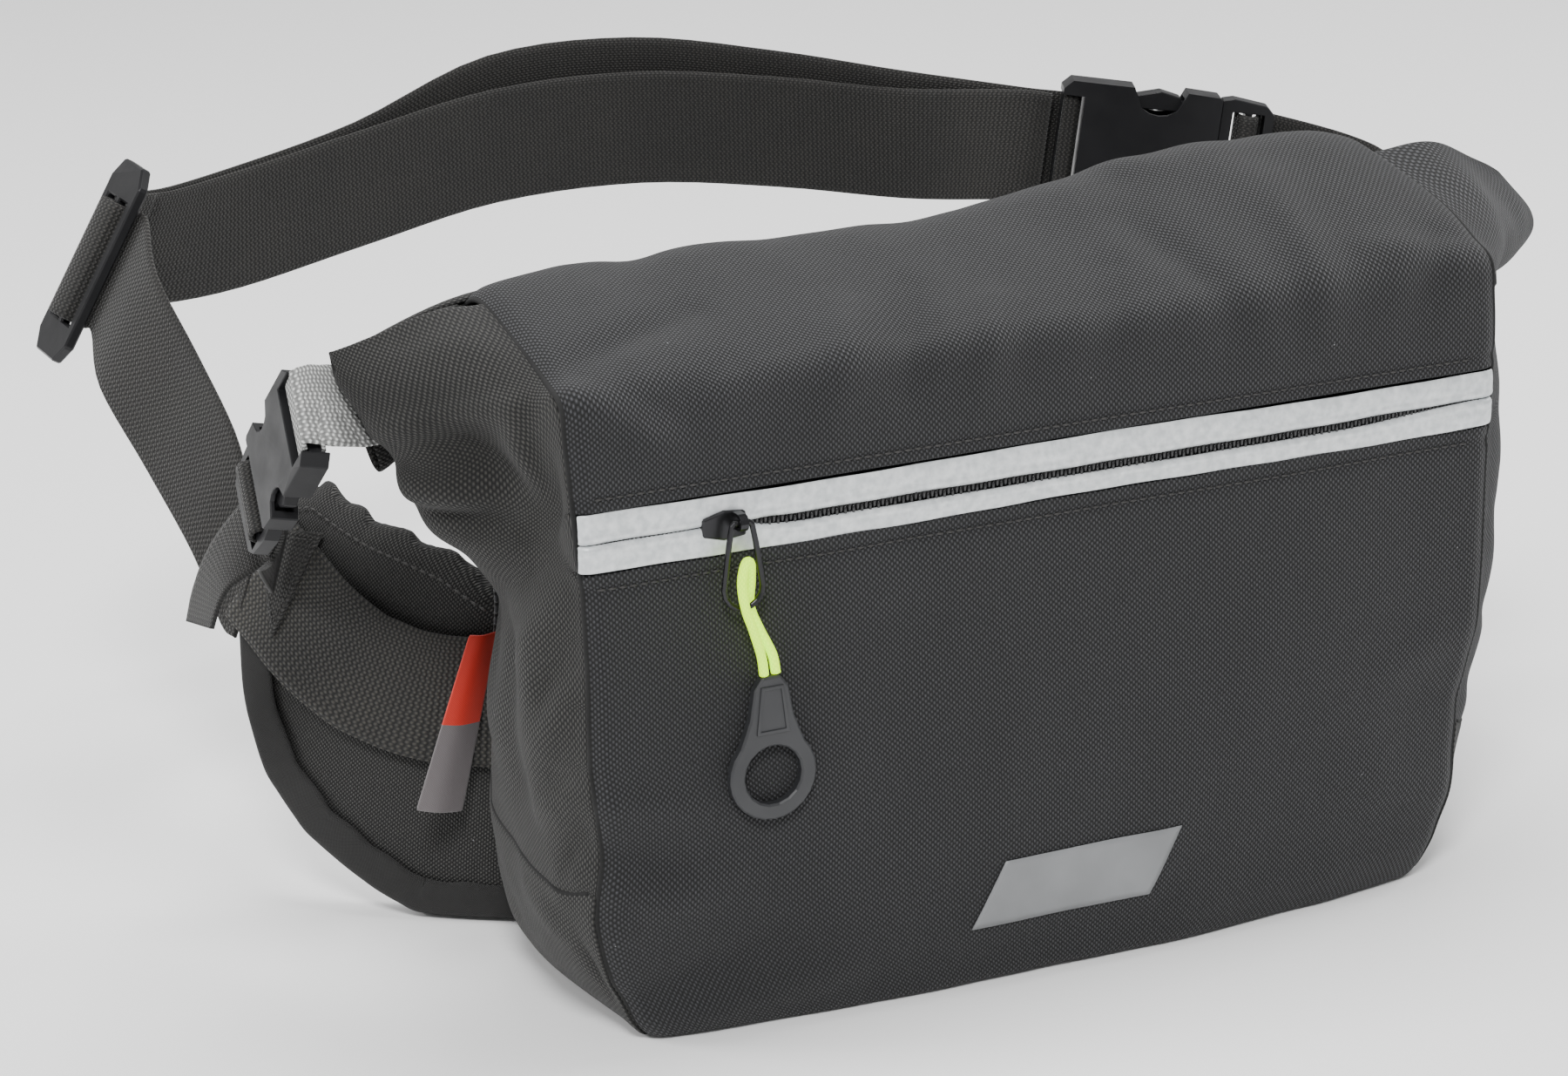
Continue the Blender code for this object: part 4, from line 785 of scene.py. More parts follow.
SIDE_FOLDS = [
    ((-160, -17, 177), (-160, -23, 161), 7.5, -4.6), ((-150, -32, 184), (-150, -31, 161), 3.6, 2.2),
    ((-168, 5, 173), (-150, -31, 185), 3.4, 1.9), ((-170, -5, 157), (-155, -26, 158), 3.6, 2.2),
    ((-165, 0, 151), (-150, -27, 149), 4.0, -2.2), ((-150, -32, 156), (-155, -14, 138), 5.0, 1.9),
    ((-146, -44, 172), (-148, -38, 152), 3.2, -1.3), ((-152, -40, 142), (-153, -16, 128), 4.5, -1.7),
    ((-150, -44, 130), (-150, -26, 112), 4.5, 1.7), ((-146, -48, 118), (-150, -34, 98), 3.5, -1.6),
    ((-146, -47, 104), (-150, -37, 90), 3.2, 1.4), ((-146, -50, 84), (-152, -34, 76), 3.0, -2.0),
    ((-146, -50, 77), (-152, -30, 68), 3.2, 1.8), ((-146, -49, 66), (-150, -40, 52), 2.6, -2.0),
    ((-146, -50, 58), (-150, -36, 46), 3.0, 1.5), ((-148, -34, 118), (-150, -30, 72), 6.0, 1.8),
    ((-150, -12, 122), (-149, -16, 74), 7.0, -2.4), ((-146, 18, 120), (-148, 6, 84), 6.0, 1.6),
    ((-136, -44, 30), (-134, -43, 14), 2.4, -2.2), ((-138, -38, 32), (-144, -16, 40), 4.0, 1.2),
]


def side_panel(finish, side, front):
    """Folded side gusset that runs up into the ear of the rolled mouth."""
    grid = loft(np.array(LEFT_ROWS if side < 0 else RIGHT_ROWS, float) * MM, 8, 13)
    seam = front[:, 0 if side < 0 else -1]
    for row in grid:
        gap = seam - row[0]
        pull = gap[np.argmin((gap**2).sum(axis=1))]
        row += pull * np.exp(-((np.arange(len(row)) / 5.0) ** 2))[:, None]
    edge = np.linspace(0, 1, grid.shape[1])
    normals = grid_normals(grid, (side, 0, 0))
    folds = SIDE_FOLDS
    if side > 0:
        folds = [((-a[0], a[1], a[2]), (-b[0], b[1], b[2]), w, h * 0.4) for a, b, w, h in folds]
    folds = [(a, b, w, h * 1.45) for a, b, w, h in folds]
    waves = ((2.4 * MM, 0.034, 5 + side, (1, 1, 0.8)), (0.9 * MM, 0.013, 8 + side, (1, 1, 1)))
    wavy = rumple(grid, normals, waves, folds, (1, 0, 0))
    inner = (np.sin(np.pi * edge) ** 0.45)[None, :, None]
    lift = ease(np.linspace(0, 6, grid.shape[0]))[:, None, None]
    grid = grid + (wavy - grid) * inner * lift
    grid = grid - normals * (1.4 * MM * dent(1 - edge, 0, 0.03))[None, :, None]
    # The left gusset takes the darker side cloth, painted shade against the key light; the right gusset takes
    # the front cloth.
    name, material = ("left", "side") if side < 0 else ("right", "front")
    obj = cloth("side_gusset_cloth_" + name, grid, finish[material], (side, 0, 0), BODY_CLOTH)
    bag_piece(obj, "body_fabric", "side_gusset_" + name)
    return grid


def base_panel(finish, left, right):
    """Base cloth that wraps up both sides to a stitched seam."""
    joined = []
    for grid, side, name in ((left, -1, "left"), (right, 1, "right")):
        keep = grid[: int(np.argmax(grid[:, 20, 2] > 0.0475)) + 1]
        normals = grid_normals(keep, (side, 0, -0.3))
        lifted = keep + normals * 0.7 * MM
        joined.append(lifted[::-1] if side < 0 else lifted)
        rim = keep[-1] + normals[-1] * 0.95 * MM
        # A near-black tube along the base seam: painted shadow of the seam.
        bag_piece(tube("base_seam_" + name, rim[2:-3], 0.75 * MM, finish["seam"]), "body_fabric")
        thread = keep[-3][4:-3] + normals[-3][4:-3] * 0.85 * MM
        stitches("base_stitch_" + name, thread, normals[-3][4:-3], finish["thread"])
    shares = np.linspace(0, 1, 22)[1:-1, None, None]
    bottom = joined[0][-1] * (1 - shares) + joined[1][0] * shares
    bottom[..., 2] = BASE_LIFT
    grid = np.concatenate([joined[0], bottom, joined[1]])
    grid[..., 2] = np.maximum(grid[..., 2], BASE_LIFT)
    obj = cloth("base_cloth", grid, finish["side"], (0, 0, -1), 1.2 * MM)
    bag_piece(obj, "body_fabric", "bottom_panel")


def roll_frame(x):
    """Centre, downward and outward directions of the roll at x; its two ends twist into the ears."""
    end = 0.1800 if x > 0 else 0.1780
    side = 1.0 if x > 0 else -1.0
    twist = ease((abs(x) - TWIST_START) / (end + 0.008 - TWIST_START))
    centre = Vector((x, 0.0290, 0.1885 + float(crest_rise(x)) * (1 - twist)))
    centre = centre.lerp(Vector((x, 0.0227, 0.1712)), twist)
    down = Vector((0.0, 0.61, -0.79)).lerp(Vector((-side * 0.25, -0.14, -0.95)), twist).normalized()
    out = Vector((0.0, 0.79, 0.61)).lerp(Vector((0.0, 0.99, -0.14)), twist)
    return centre, down, (out - down * out.dot(down)).normalized()


def rolled_mouth(finish):
    """The cloth rolled one and a half turns over its stiffener, seen at its two ends."""
    turns = np.linspace(0, 3 * np.pi, 46)
    radius = (2.0 + 1.9 * turns / (2 * np.pi)) * MM
    wide = 12.8 * MM * np.tanh(3.2 * np.cos(turns)) + radius * np.cos(turns)
    thick = radius * np.sin(turns)
    stations = np.linspace(-0.1795, 0.1815, 61)
    grid = np.zeros((len(stations), len(turns), 3))
    for i, x in enumerate(stations):
        centre, down, out = roll_frame(x)
        sag = 0.5 * MM * math.sin(x * 90)
        for j, (w, t) in enumerate(zip(wide, thick)):
            grid[i, j] = centre + down * (w + sag) + out * t
    normals = unit(np.cross(np.gradient(grid, axis=1), np.gradient(grid, axis=0)))
    grid = ripple(grid, normals, 0.6 * MM, 0.02, 11)
    bag_piece(cloth("rolled_cloth", grid, finish["side"], (0, 1, 0), 1.0 * MM), "body_fabric", "roll_top")


def back_parts(finish):
    """Upper back slope, and the air-mesh pad with its sewn channels."""
    rows = []
    for y, z, half in ((50.5, 147, 133), (46, 156, 136), (38, 166, 139), (30, 174, 141), (24, 181, 143)):
        xs = np.linspace(-half, half, 25)
        lift = crest_rise(xs * MM) * 300 * (z - 147) / 34
        rows.append([(x, y + 0.8 * math.sin(x / 23), z + rise) for x, rise in zip(xs, lift)])
    grid = loft(np.array(rows) * MM, 4, 3)
    normals = grid_normals(grid, (0, 1, 1))
    grid = ripple(grid, normals, 1.2 * MM, 0.03, 12)
    bag_piece(cloth("back_slope", grid, finish["side"], (0, 1, 1)), "body_fabric", "back_upper")
    outline = [(124, 1), (130, 20), (134.5, 55), (130, 100), (133, 147)]
    levels = np.linspace(1, 147, 49)
    halves = np.interp(levels, [z for _, z in outline], [x for x, _ in outline])
    shares = np.linspace(-1, 1, 97)
    grid = np.zeros((len(levels), len(shares), 3))
    for i, (z, half) in enumerate(zip(levels, halves)):
        edge = np.minimum(half * (1 - np.abs(shares)), min(z - 1, 147 - z))
        crown = 4.6 * (1 - np.exp(-np.maximum(edge, 0) / 5.0))
        channel = sum(np.exp(-(((shares * half - c) / 2.6) ** 2)) for c in (-44, 44))
        channel = channel + math.exp(-(((z - 74) / 2.6) ** 2)) * (np.abs(shares * half) < 44)
        plump = 1.6 * np.abs(np.sin(np.pi * (shares * half + 44) / 88)) * math.sin(math.pi * z / 148)
        y = 51.8 + crown * (1 - 0.75 * np.clip(channel, 0, 1)) + plump * (edge > 4)
        grid[i] = np.stack([shares * half, y, np.full(len(shares), z)], axis=1)
    pad = cloth("back_pad", grid * MM, finish["mesh"], (0, 1, 0), 1.2 * MM)
    bag_piece(pad, "foam", "back_mesh", "back_foam", "back_panel")


# ---------------------------------------------------------------- zip and pull
def zip_gap(x):
    """Half height of the opening between the tapes: shut at both ends, open between."""
    left = ease((x + 0.099) / 0.010)
    right = ease((0.142 - x) / 0.050)
    return (0.5 + 1.15 * left * right) * MM


def zip_middle(x):
    """Height of the coil, which hangs a little between its ends."""
    return ZIP_Z - 1.5 * MM * ease((x + 0.108) / 0.03) * ease((0.145 - x) / 0.06)


def zip_parts(finish):
    xs = np.linspace(-ZIP_HALF - 0.0028, ZIP_HALF + 0.0030, 161)
    for name, side in (("upper", 1), ("lower", -1)):
        rows = []
        for share in np.linspace(0, 1, 11):
            line = []
            for x in xs:
                edge = zip_middle(x) + side * zip_gap(x)
                far = ZIP_Z + side * 8.25 * MM + 0.35 * MM * math.sin(x * 38 + 1.0)
                z = edge + (far - edge) * share
                curl = 0.7 * MM * math.exp(-(((share - 0.08) / 0.12) ** 2)) - 0.9 * MM * (share < 0.01)
                wave = 0.22 * MM * math.sin(x * 210 + side) + 0.14 * MM * math.sin(x * 77 + 2 * side)
                tuck = 1.6 * MM * ease((abs(x) - 0.1435) / 0.0025)
                y = ZIP_Y - 1.0 * MM - curl - 0.5 * MM * math.sin(math.pi * share) - wave + tuck
                line.append((x, y, z))
            rows.append(line)
        obj = cloth("tape_" + name, np.array(rows), finish["tape"], (0, -1, 0), 0.9 * MM)
        bag_piece(obj, "reflective", "zip_tape_" + name)
    teeth(finish)
    for name, z in (("stitch_upper", 162.4), ("stitch_lower", 136.9)):
        path = [(x, front_depth(x, z * MM) - 0.1 * MM, z * MM) for x in np.linspace(-0.141, 0.1405, 90)]
        stitches(name, path, (0, -1, 0), finish["thread"], radius=0.42 * MM)


def teeth(finish):
    """Nylon coil: one short rounded bar for each tooth, leaning alternately up and down."""
    points, faces = [], []
    for k in range(-110, 111):
        x = k * TOOTH_PITCH
        middle = ZIP_Z + (0.45 * MM * (1 if k % 2 else -1) + zip_middle(x) - ZIP_Z)
        faces += ring_faces(4, 6, len(points))
        for z, fat in ((-1.25, 0.25), (-0.8, 0.5), (0.8, 0.5), (1.25, 0.25)):
            for turn in np.arange(6) * math.pi / 3:
                y = -53.0 * MM - fat * MM * math.sin(turn)
                points.append((x + fat * MM * math.cos(turn), y, middle + z * MM))
    bag_piece(add_closed("coil_teeth", points, faces, finish["teeth"]), "coil")


def pull_cord(finish):
    """Neon cord: up from one side of the neck, through the bail and back to the other."""
    path = spline(CORD_ROUTE, 8)
    radius = 1.4 * MM
    obj = tube("neon_loop", path, radius, finish["neon"], 10, (0, 1, 0))
    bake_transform(obj)
    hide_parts("pull_cord")


def pull_plaque(finish):
    """Blank raised frame on the neck of the ring pull."""
    x0, y0, z0 = RING_CENTRE
    outline = [(-5.0, 12.4), (5.0, 12.4), (3.4, 26.2), (-3.4, 26.2)]
    inner = [(x * 0.78, 19.3 + (z - 19.3) * 0.86) for x, z in outline]
    points = []
    for ring, depth in ((outline, -1.60), (outline, -2.15), (inner, -2.15), (inner, -1.62)):
        points += [(x0 + x * MM, y0 + depth * MM, z0 + z * MM) for x, z in ring]
    obj = add_closed("pull_plaque", points, ring_faces(4, 4, caps=False), finish["rubber"])
    round_edges(obj, 0.15 * MM, 2)
    bag_piece(obj, "ring_rubber", body="pull")


def round_edges(obj, width, segments):
    edge = obj.modifiers.new("rounding", "BEVEL")
    edge.width, edge.segments, edge.limit_method = width, segments, "ANGLE"
    edge.angle_limit = math.radians(35)


# ---------------------------------------------------------------- hip wings
def wing_point(side, s, z, out):
    """A point of a hip wing: s along it from the root, z up, out from its outer face."""
    steps = 12
    x, y = WING_ROOT
    for step in range(steps):
        share = (step + 0.5) / steps
        turn = WING_TURN[0] + (WING_TURN[1] - WING_TURN[0]) * min(share * s / WING_LENGTH, 1.2)
        x += s / steps * math.cos(turn)
        y += s / steps * math.sin(turn)
    turn = WING_TURN[0] + (WING_TURN[1] - WING_TURN[0]) * min(s / WING_LENGTH, 1.2)
    lean = 0.10 + 0.25 * s / WING_LENGTH
    x += out * math.sin(turn) - lean * (z - 0.070)
    y -= out * math.cos(turn)
    return Vector((side * x, y, z + out * lean))


def wing_spot(side, s, share, out):
    low, high = along(WING_BOTTOM, s), along(WING_TOP, s)
    return wing_point(side, s, low + (high - low) * share, out)


def wing_up(side):
    """The way a band stands at the tip of a wing."""
    return (wing_point(side, 0.083, 0.12, 0.002) - wing_point(side, 0.083, 0.09, 0.002)).normalized()


def wing_out(side, s):
    """The way out of a wing's face at s."""
    return tuple(wing_point(side, s, 0.1, 0.01) - wing_point(side, s, 0.1, 0))


def closed_pad(name, side, material):
    """Flattened closed body of a wing, thin at its rim."""
    stretches = np.linspace(-0.020, WING_LENGTH, 28)
    shares = np.linspace(0.0, 1.0, 27)
    outer, inner = [], []
    for s in stretches:
        rim_s = min(s + 0.026, WING_LENGTH - s) / 0.012
        for share in shares:
            rim = max(min(rim_s, share / 0.10, (1 - share) / 0.10, 1.0), 0.0)
            slim = 1.9 * MM * (1 - math.sin(max(rim, 0.0) * math.pi / 2))
            outer.append(wing_spot(side, s, share, -0.7 * MM - slim))
            inner.append(wing_spot(side, s, share, -WING_PAD + 0.7 * MM + slim))
    rows, columns = len(stretches), len(shares)
    half = rows * columns
    faces = []
    for i in range(rows - 1):
        for j in range(columns - 1):
            a = i * columns + j
            faces.append((a, a + 1, a + columns + 1, a + columns))
            faces.append((half + a, half + a + columns, half + a + columns + 1, half + a + 1))
    rim = [i * columns for i in range(rows)] + [(rows - 1) * columns + j for j in range(1, columns)]
    rim += [i * columns + columns - 1 for i in range(rows - 2, -1, -1)] + list(range(columns - 2, 0, -1))
    for here, after in zip(rim, rim[1:] + rim[:1]):
        faces.append((here, after, half + after, half + here))
    return add_closed(name, [tuple(p) for p in outer + inner], faces, material)


def swell(obj):
    """Cloth simulation of a stuffed piece, its result kept in the mesh and limited to SWELL_CAP."""
    scene = bpy.context.scene
    bpy.context.view_layer.objects.active = obj
    remesh = obj.modifiers.new("remesh", "REMESH")
    remesh.mode, remesh.voxel_size = "VOXEL", SWELL_VOXEL
    graph = bpy.context.evaluated_depsgraph_get()
    mesh = bpy.data.meshes.new_from_object(obj.evaluated_get(graph))
    obj.modifiers.clear()
    obj.data = mesh
    rest = np.array([v.co for v in mesh.vertices], float)
    mover = obj.modifiers.new("cloth", "CLOTH")
    settings = mover.settings
    settings.quality = 5
    settings.mass = 0.3
    settings.tension_stiffness = settings.compression_stiffness = 40
    settings.shear_stiffness = 10
    settings.bending_stiffness = 12.0
    settings.use_pressure = True
    settings.uniform_pressure_force = 4.0
    settings.effector_weights.gravity = 0.0
    mover.point_cache.frame_start, mover.point_cache.frame_end = 1, SWELL_STEPS
    for step in range(1, SWELL_STEPS + 1):
        scene.frame_set(step)
    swollen = obj.evaluated_get(bpy.context.evaluated_depsgraph_get())
    moved = np.array([v.co for v in swollen.to_mesh().vertices], float)
    swollen.to_mesh_clear()
    obj.modifiers.clear()
    scene.frame_set(1)
    shift = moved - rest
    size = np.linalg.norm(shift, axis=1, keepdims=True)
    shift *= np.minimum(1.0, SWELL_CAP / np.maximum(size, 1e-9))
    obj.data.vertices.foreach_set("co", (rest + shift).astype(np.float32).ravel())
    obj.data.update()
    obj.data.shade_smooth()


def wing_edge():
    """(s, z) points round the wing's lower and outer edge."""
    edge = [(s, along(WING_BOTTOM, s)) for s in np.linspace(-0.018, 0.0835, 28)]
    edge += [(WING_LENGTH, z) for z in np.linspace(0.0880, 0.106, 5)]
    edge.append((WING_LENGTH - 0.003, 0.1130))
    return spline(np.array(edge), 2)


def edge_tube(name, side, edge, material):
    """Cloth folded round the wing's edge, as a sweep of a rounded hook."""
    face, grow = 9 * MM, 0.6 * MM
    hook = [(face, 0.5), (face - 0.7 * MM, 1.0), (face * 0.55, 1.25), (1.5 * MM, 1.35)]
    hook += [(-0.2 * MM, 0.9), (-0.9 * MM, -1.5)]
    hook = [(reach, lift * MM * 0.9) for reach, lift in hook]
    ring = hook + [(-1.5 * MM, -WING_PAD / 2)] + [(reach, -WING_PAD - out) for reach, out in reversed(hook)]
    edge = np.asarray(edge)
    run = unit(np.gradient(edge, axis=0))
    grid = np.zeros((len(edge), len(ring), 3))
    for i, ((s, z), (ds, dz)) in enumerate(zip(edge, run)):
        for j, (reach, out) in enumerate(ring):
            wave = 0.35 * MM * math.sin(i * 0.9) * (reach > 0.004)
            grid[i, j] = wing_point(side, s - dz * (reach + wave), z + ds * (reach + wave), out + grow)
    grid = loft(grid, 2, 3)
    grid[..., 2] = np.maximum(grid[..., 2], 0.4 * MM)
    return cloth(name, grid, material, (side, -0.6, 0), 0.8 * MM)


def wing_band(side):
    """Stations of the webbing sewn across a wing."""
    stations = []
    for k in range(15):
        s = -0.012 + 0.094 * k / 14
        middle = along(WING_WEB, s)
        slope = (along(WING_WEB, s + 0.004) - along(WING_WEB, s - 0.004)) / 0.008
        low = wing_point(side, s + slope * 0.01, middle - 0.01, 0)
        high = wing_point(side, s - slope * 0.01, middle + 0.01, 0)
        out = 3.0 * MM + 1.4 * MM * math.sin(math.pi * k / 14)
        stations.append((wing_point(side, s, middle, out), high - low))
    return smooth_web(stations, 3)


def wings(finish):
    for side, name in SIDES:
        pad = closed_pad("wing_" + name, side, finish["wing"])
        swell(pad)
        # UVs in metres: nearly the distance along the wing, and height.
        set_uvs(pad.data, [(v.co.y * 1.25, v.co.z) for v in pad.data.vertices])
        subdivide(pad)
        bag_piece(pad, "body_fabric", "wing_pad_" + name)
        trim = edge_tube("binding_" + name, side, wing_edge(), finish["binding"])
        bag_piece(trim, "binding", "wing_binding_" + name)
        band = ribbon("wing_web_" + name, wing_band(side), BELT_WIDTH, 1.5 * MM, finish["web_wing"], 0.5 * MM)
        bag_piece(band, "black_webbing", "wing_webbing_" + name)
        line = []
        for s in np.linspace(-0.004, 0.080, 40):
            line.append(tuple(wing_point(side, s, along(WING_TOP, s) - 0.0095, 2.7 * MM)))
        stitches("wing_stitch_" + name, line, wing_out(side, 0.04), finish["thread"], radius=0.36 * MM)
        patch_on_wing("anchor_" + name, side, finish)


def patch_on_wing(name, side, finish):
    """Triangular webbing patch with stitched edges that anchors the side strap."""
    corners = ANCHOR_CORNERS
    centre = np.mean(corners, axis=0)
    points = []
    for scale, out in ((1.0, 3.6), (1.0, 5.0), (0.93, 5.5)):
        for corner in corners:
            s, z = centre + (np.array(corner) - centre) * scale
            points.append(wing_point(side, s, z, out * MM))
    uvs = [(p.y, p.z) for p in points]
    obj = add_closed(name, [tuple(p) for p in points], ring_faces(3, 3), finish["web_narrow"], uvs)
    bag_piece(obj, "black_webbing", "strap_" + name)
    ring = []
    for k in range(3):
        a, b = (centre + (np.array(corners[q]) - centre) * 0.80 for q in (k, (k + 1) % 3))
        for t in np.linspace(0, 1, 8, endpoint=False):
            s, z = a + (b - a) * t
            ring.append(tuple(wing_point(side, s, z, 5.6 * MM)))
    stitches(name + "_stitch", ring + ring[:1], wing_out(side, 0.07), finish["thread"], pitch=2.4 * MM)


def label(finish):
    """Blank two-colour tag in the left seam."""
    top = np.array([(-130.5, 51.5, 92.0), (-139.5, 50.5, 92.5)])
    foot = np.array([(-144.0, 51.5, 37.5), (-158.5, 51.5, 40.5)])
    rows = []
    for t in np.linspace(0, 1, 9):
        seam, free = top * (1 - t) + foot * t
        bow = math.sin(math.pi * t) * 1.6
        middle = (seam + free) / 2 + (-0.8 - bow * 0.4, -1.6 - bow * 0.5, 0)
        rows.append([seam, middle, free + (-bow * 0.6, -bow, 0)])
    grid = loft(np.array(rows)[::-1] * MM, 3, 6)
    bag_piece(cloth("side_tag", grid, finish["label"], (-1, -0.6, 0), 0.7 * MM), "label", "side_label")


def corner_tabs(finish):
    """Short black tab ends under each grey web, at the ear's lower corner."""
    for side, name in SIDES:
        stations = []
        for t in np.linspace(0, 1, 5):
            centre = Vector((side * (173.0 - 3.5 * t) * MM, 11.0 * MM, (168.0 - 11.0 * t) * MM))
            stations.append((centre, Vector((side * 0.6, 0.1, 0.75))))
        tab = ribbon("corner_tab_" + name, stations, 8 * MM, 2.2 * MM, finish["web_narrow"])
        bag_piece(tab, "black_webbing")


# ---------------------------------------------------------------- buckles and webbing
class Buckle:
    """The lengths of a side-release buckle that its webbing needs."""

    def __init__(self, length, place, axis, across):
        self.base = length + 0.0003
        self.bar = -0.0085
        self.bar_end = self.bar + 0.0026
        self.frame = local_frame(place, axis, across)


SIDE_PLACES = {
    "left": ((-0.2000, 0.0150, 0.1730), (-0.165, 0.640, -0.750), (0.139, 0.768, 0.625)),
    "right": ((0.1900, 0.0340, 0.1680), (-0.060, 0.660, -0.750), (-0.100, 0.768, 0.625)),
}
BELT_PLACE = ((0.1700, 0.2410, 0.1630), (0.909, -0.390, -0.143), (0.131, -0.056, 0.990))
ADJUSTER_PLACE = ((-0.1950, 0.2240, 0.1740), (0.0, 1.0, 0.0), (0.507, 0.0, 0.865))
FAR_BELT = [
    (-0.1810, 0.2580, 0.1680), (-0.1600, 0.2680, 0.1640), (-0.1280, 0.2790, 0.1640),
    (-0.0800, 0.2900, 0.1700), (-0.0280, 0.2975, 0.1770), (0.0260, 0.2985, 0.1770),
    (0.0760, 0.2910, 0.1710), (0.1180, 0.2750, 0.1650),
]
REAR_LIFT = [0.0005, 0.0008, 0.0010, 0.0020, 0.0108, 0.0114, 0.0088, 0.0060]
REAR_BACK = [0.0023, 0.0025, 0.0030, 0.0045, 0.0050, 0.0045, 0.0035, 0.0028]
RIGHT_BEND = [
    (0.2600, 0.2085, 0.1450), (0.2700, 0.1950, 0.1395), (0.2650, 0.1780, 0.1325),
    (0.2415, 0.1650, 0.1235), (0.2160, 0.1550, 0.1125),
]


def in_frame(matrix, pairs, face=1.0):
    """Stations from (along, out) pairs in the frame of a buckle or adjuster."""
    across = matrix.to_3x3() @ Vector((0, 1, 0))
    return [(matrix @ Vector((x, 0.0, face * z)), across) for x, z in pairs]


def bar_wrap(b, lift):
    """(Along, out) pairs of webbing that turns round the bar of a socket."""
    middle = b.bar_end + 0.0006
    turn = [(b.bar - 0.003, -lift), (b.bar + 0.0006, -lift)]
    for angle in (-60, -30, 0, 30, 60):
        a = math.radians(angle)
        turn.append((middle + 0.0034 * math.cos(a), lift * math.sin(a)))
    return turn + [(b.bar + 0.0006, lift), (b.bar - 0.003, lift)]


def side_webs(finish):
    """Grey web loops that hold the side sockets, and the straps that they close on."""
    for side, sign in (("left", -1), ("right", 1)):
        b = Buckle(0.0260, *SIDE_PLACES[side])
        roll_across = Vector((-sign * 0.42, -0.08, -0.84))
        if roll_across.dot(b.frame.to_3x3() @ Vector((0, 1, 0))) < 0:
            roll_across = -roll_across
        reach = 0.1740 if sign < 0 else 0.1790
        ends = [(Vector((sign * reach, 0.0102, 0.1800)), roll_across)]
        ends.append((Vector((sign * (reach + 0.0080), 0.0104, 0.1785)), roll_across))
        shift = Vector((0.0, 0.0022, 0.0))
        wrap = in_frame(b.frame, bar_wrap(b, 0.0027))
        if (wrap[0][0] - ends[1][0]).length < (wrap[-1][0] - ends[1][0] - shift).length:
            wrap = wrap[::-1]
        rear = [(p + shift, a) for p, a in reversed(ends)]
        stations = smooth_web(ends + wrap + rear, 3)
        loop = ribbon("grey_loop_" + side, stations, SIDE_WIDTH, SIDE_THICK, finish["web_grey"])
        bag_piece(loop, "grey_webbing", "side_webbing_" + side)
        side_strap(side, sign, b, finish)


def side_strap(side, sign, b, finish):
    """Black strap from the wing through the plug, with its free tail."""
    anchor = wing_point(sign, 0.070, 0.104, 0.0070)
    up = (wing_point(sign, 0.070, 0.114, 0.0070) - anchor).normalized()
    y_axis = b.frame.to_3x3() @ Vector((0, 1, 0))
    if up.dot(y_axis) < 0:
        up = -up
    face = 1.0 if (b.frame.to_3x3() @ Vector((0, 0, 1))).x * sign > 0 else -1.0
    load = [(0.0220, -0.0062), (0.0160, -0.0060), (0.0090, -0.0055), (0.0055, -0.0042), (0.0046, -0.0018)]
    over = [(0.0047, 0.0008), (0.0058, 0.0034), (0.0078, 0.0040), (0.0098, 0.0034), (0.0109, 0.0008)]
    tail = [(0.0111, -0.0012), (0.0122, -0.0036), (0.0160, -0.0040), (0.0220, -0.0036)]
    threaded = in_frame(b.frame, [(b.base + x, z) for x, z in load + over + tail], face)
    middle = anchor.lerp(threaded[0][0], 0.5) + Vector((sign * 0.003, 0.0, 0.004))
    out = b.frame.to_3x3() @ Vector((0, 0, face * 0.003))
    end = threaded[-1][0] + out
    drop = [(end + Vector((sign * 0.0060, 0.0035, -0.0100)), Vector((-sign * 0.09, 0.92, 0.22)))]
    drop.append((end + Vector((sign * 0.0105, 0.0050, -0.0190)), Vector((0.0, 0.97, -0.10))))
    drop.append((end + Vector((sign * 0.0130, 0.0060, -0.0280)), Vector((0.0, 0.97, -0.20))))
    stations = [(anchor, up), (middle, up + y_axis)] + threaded + drop
    web = finish["web_narrow"]
    strap = ribbon("side_strap_web_" + side, smooth_web(stations, 3), SIDE_WIDTH - 0.001, SIDE_THICK, web)
    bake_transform(strap)
    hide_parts("side_strap_" + side)


def plan_normal(points, index):
    run = Vector(points[min(index + 1, len(points) - 1)]) - Vector(points[max(index - 1, 0)])
    return Vector((-run.y, run.x, 0.0)).normalized()


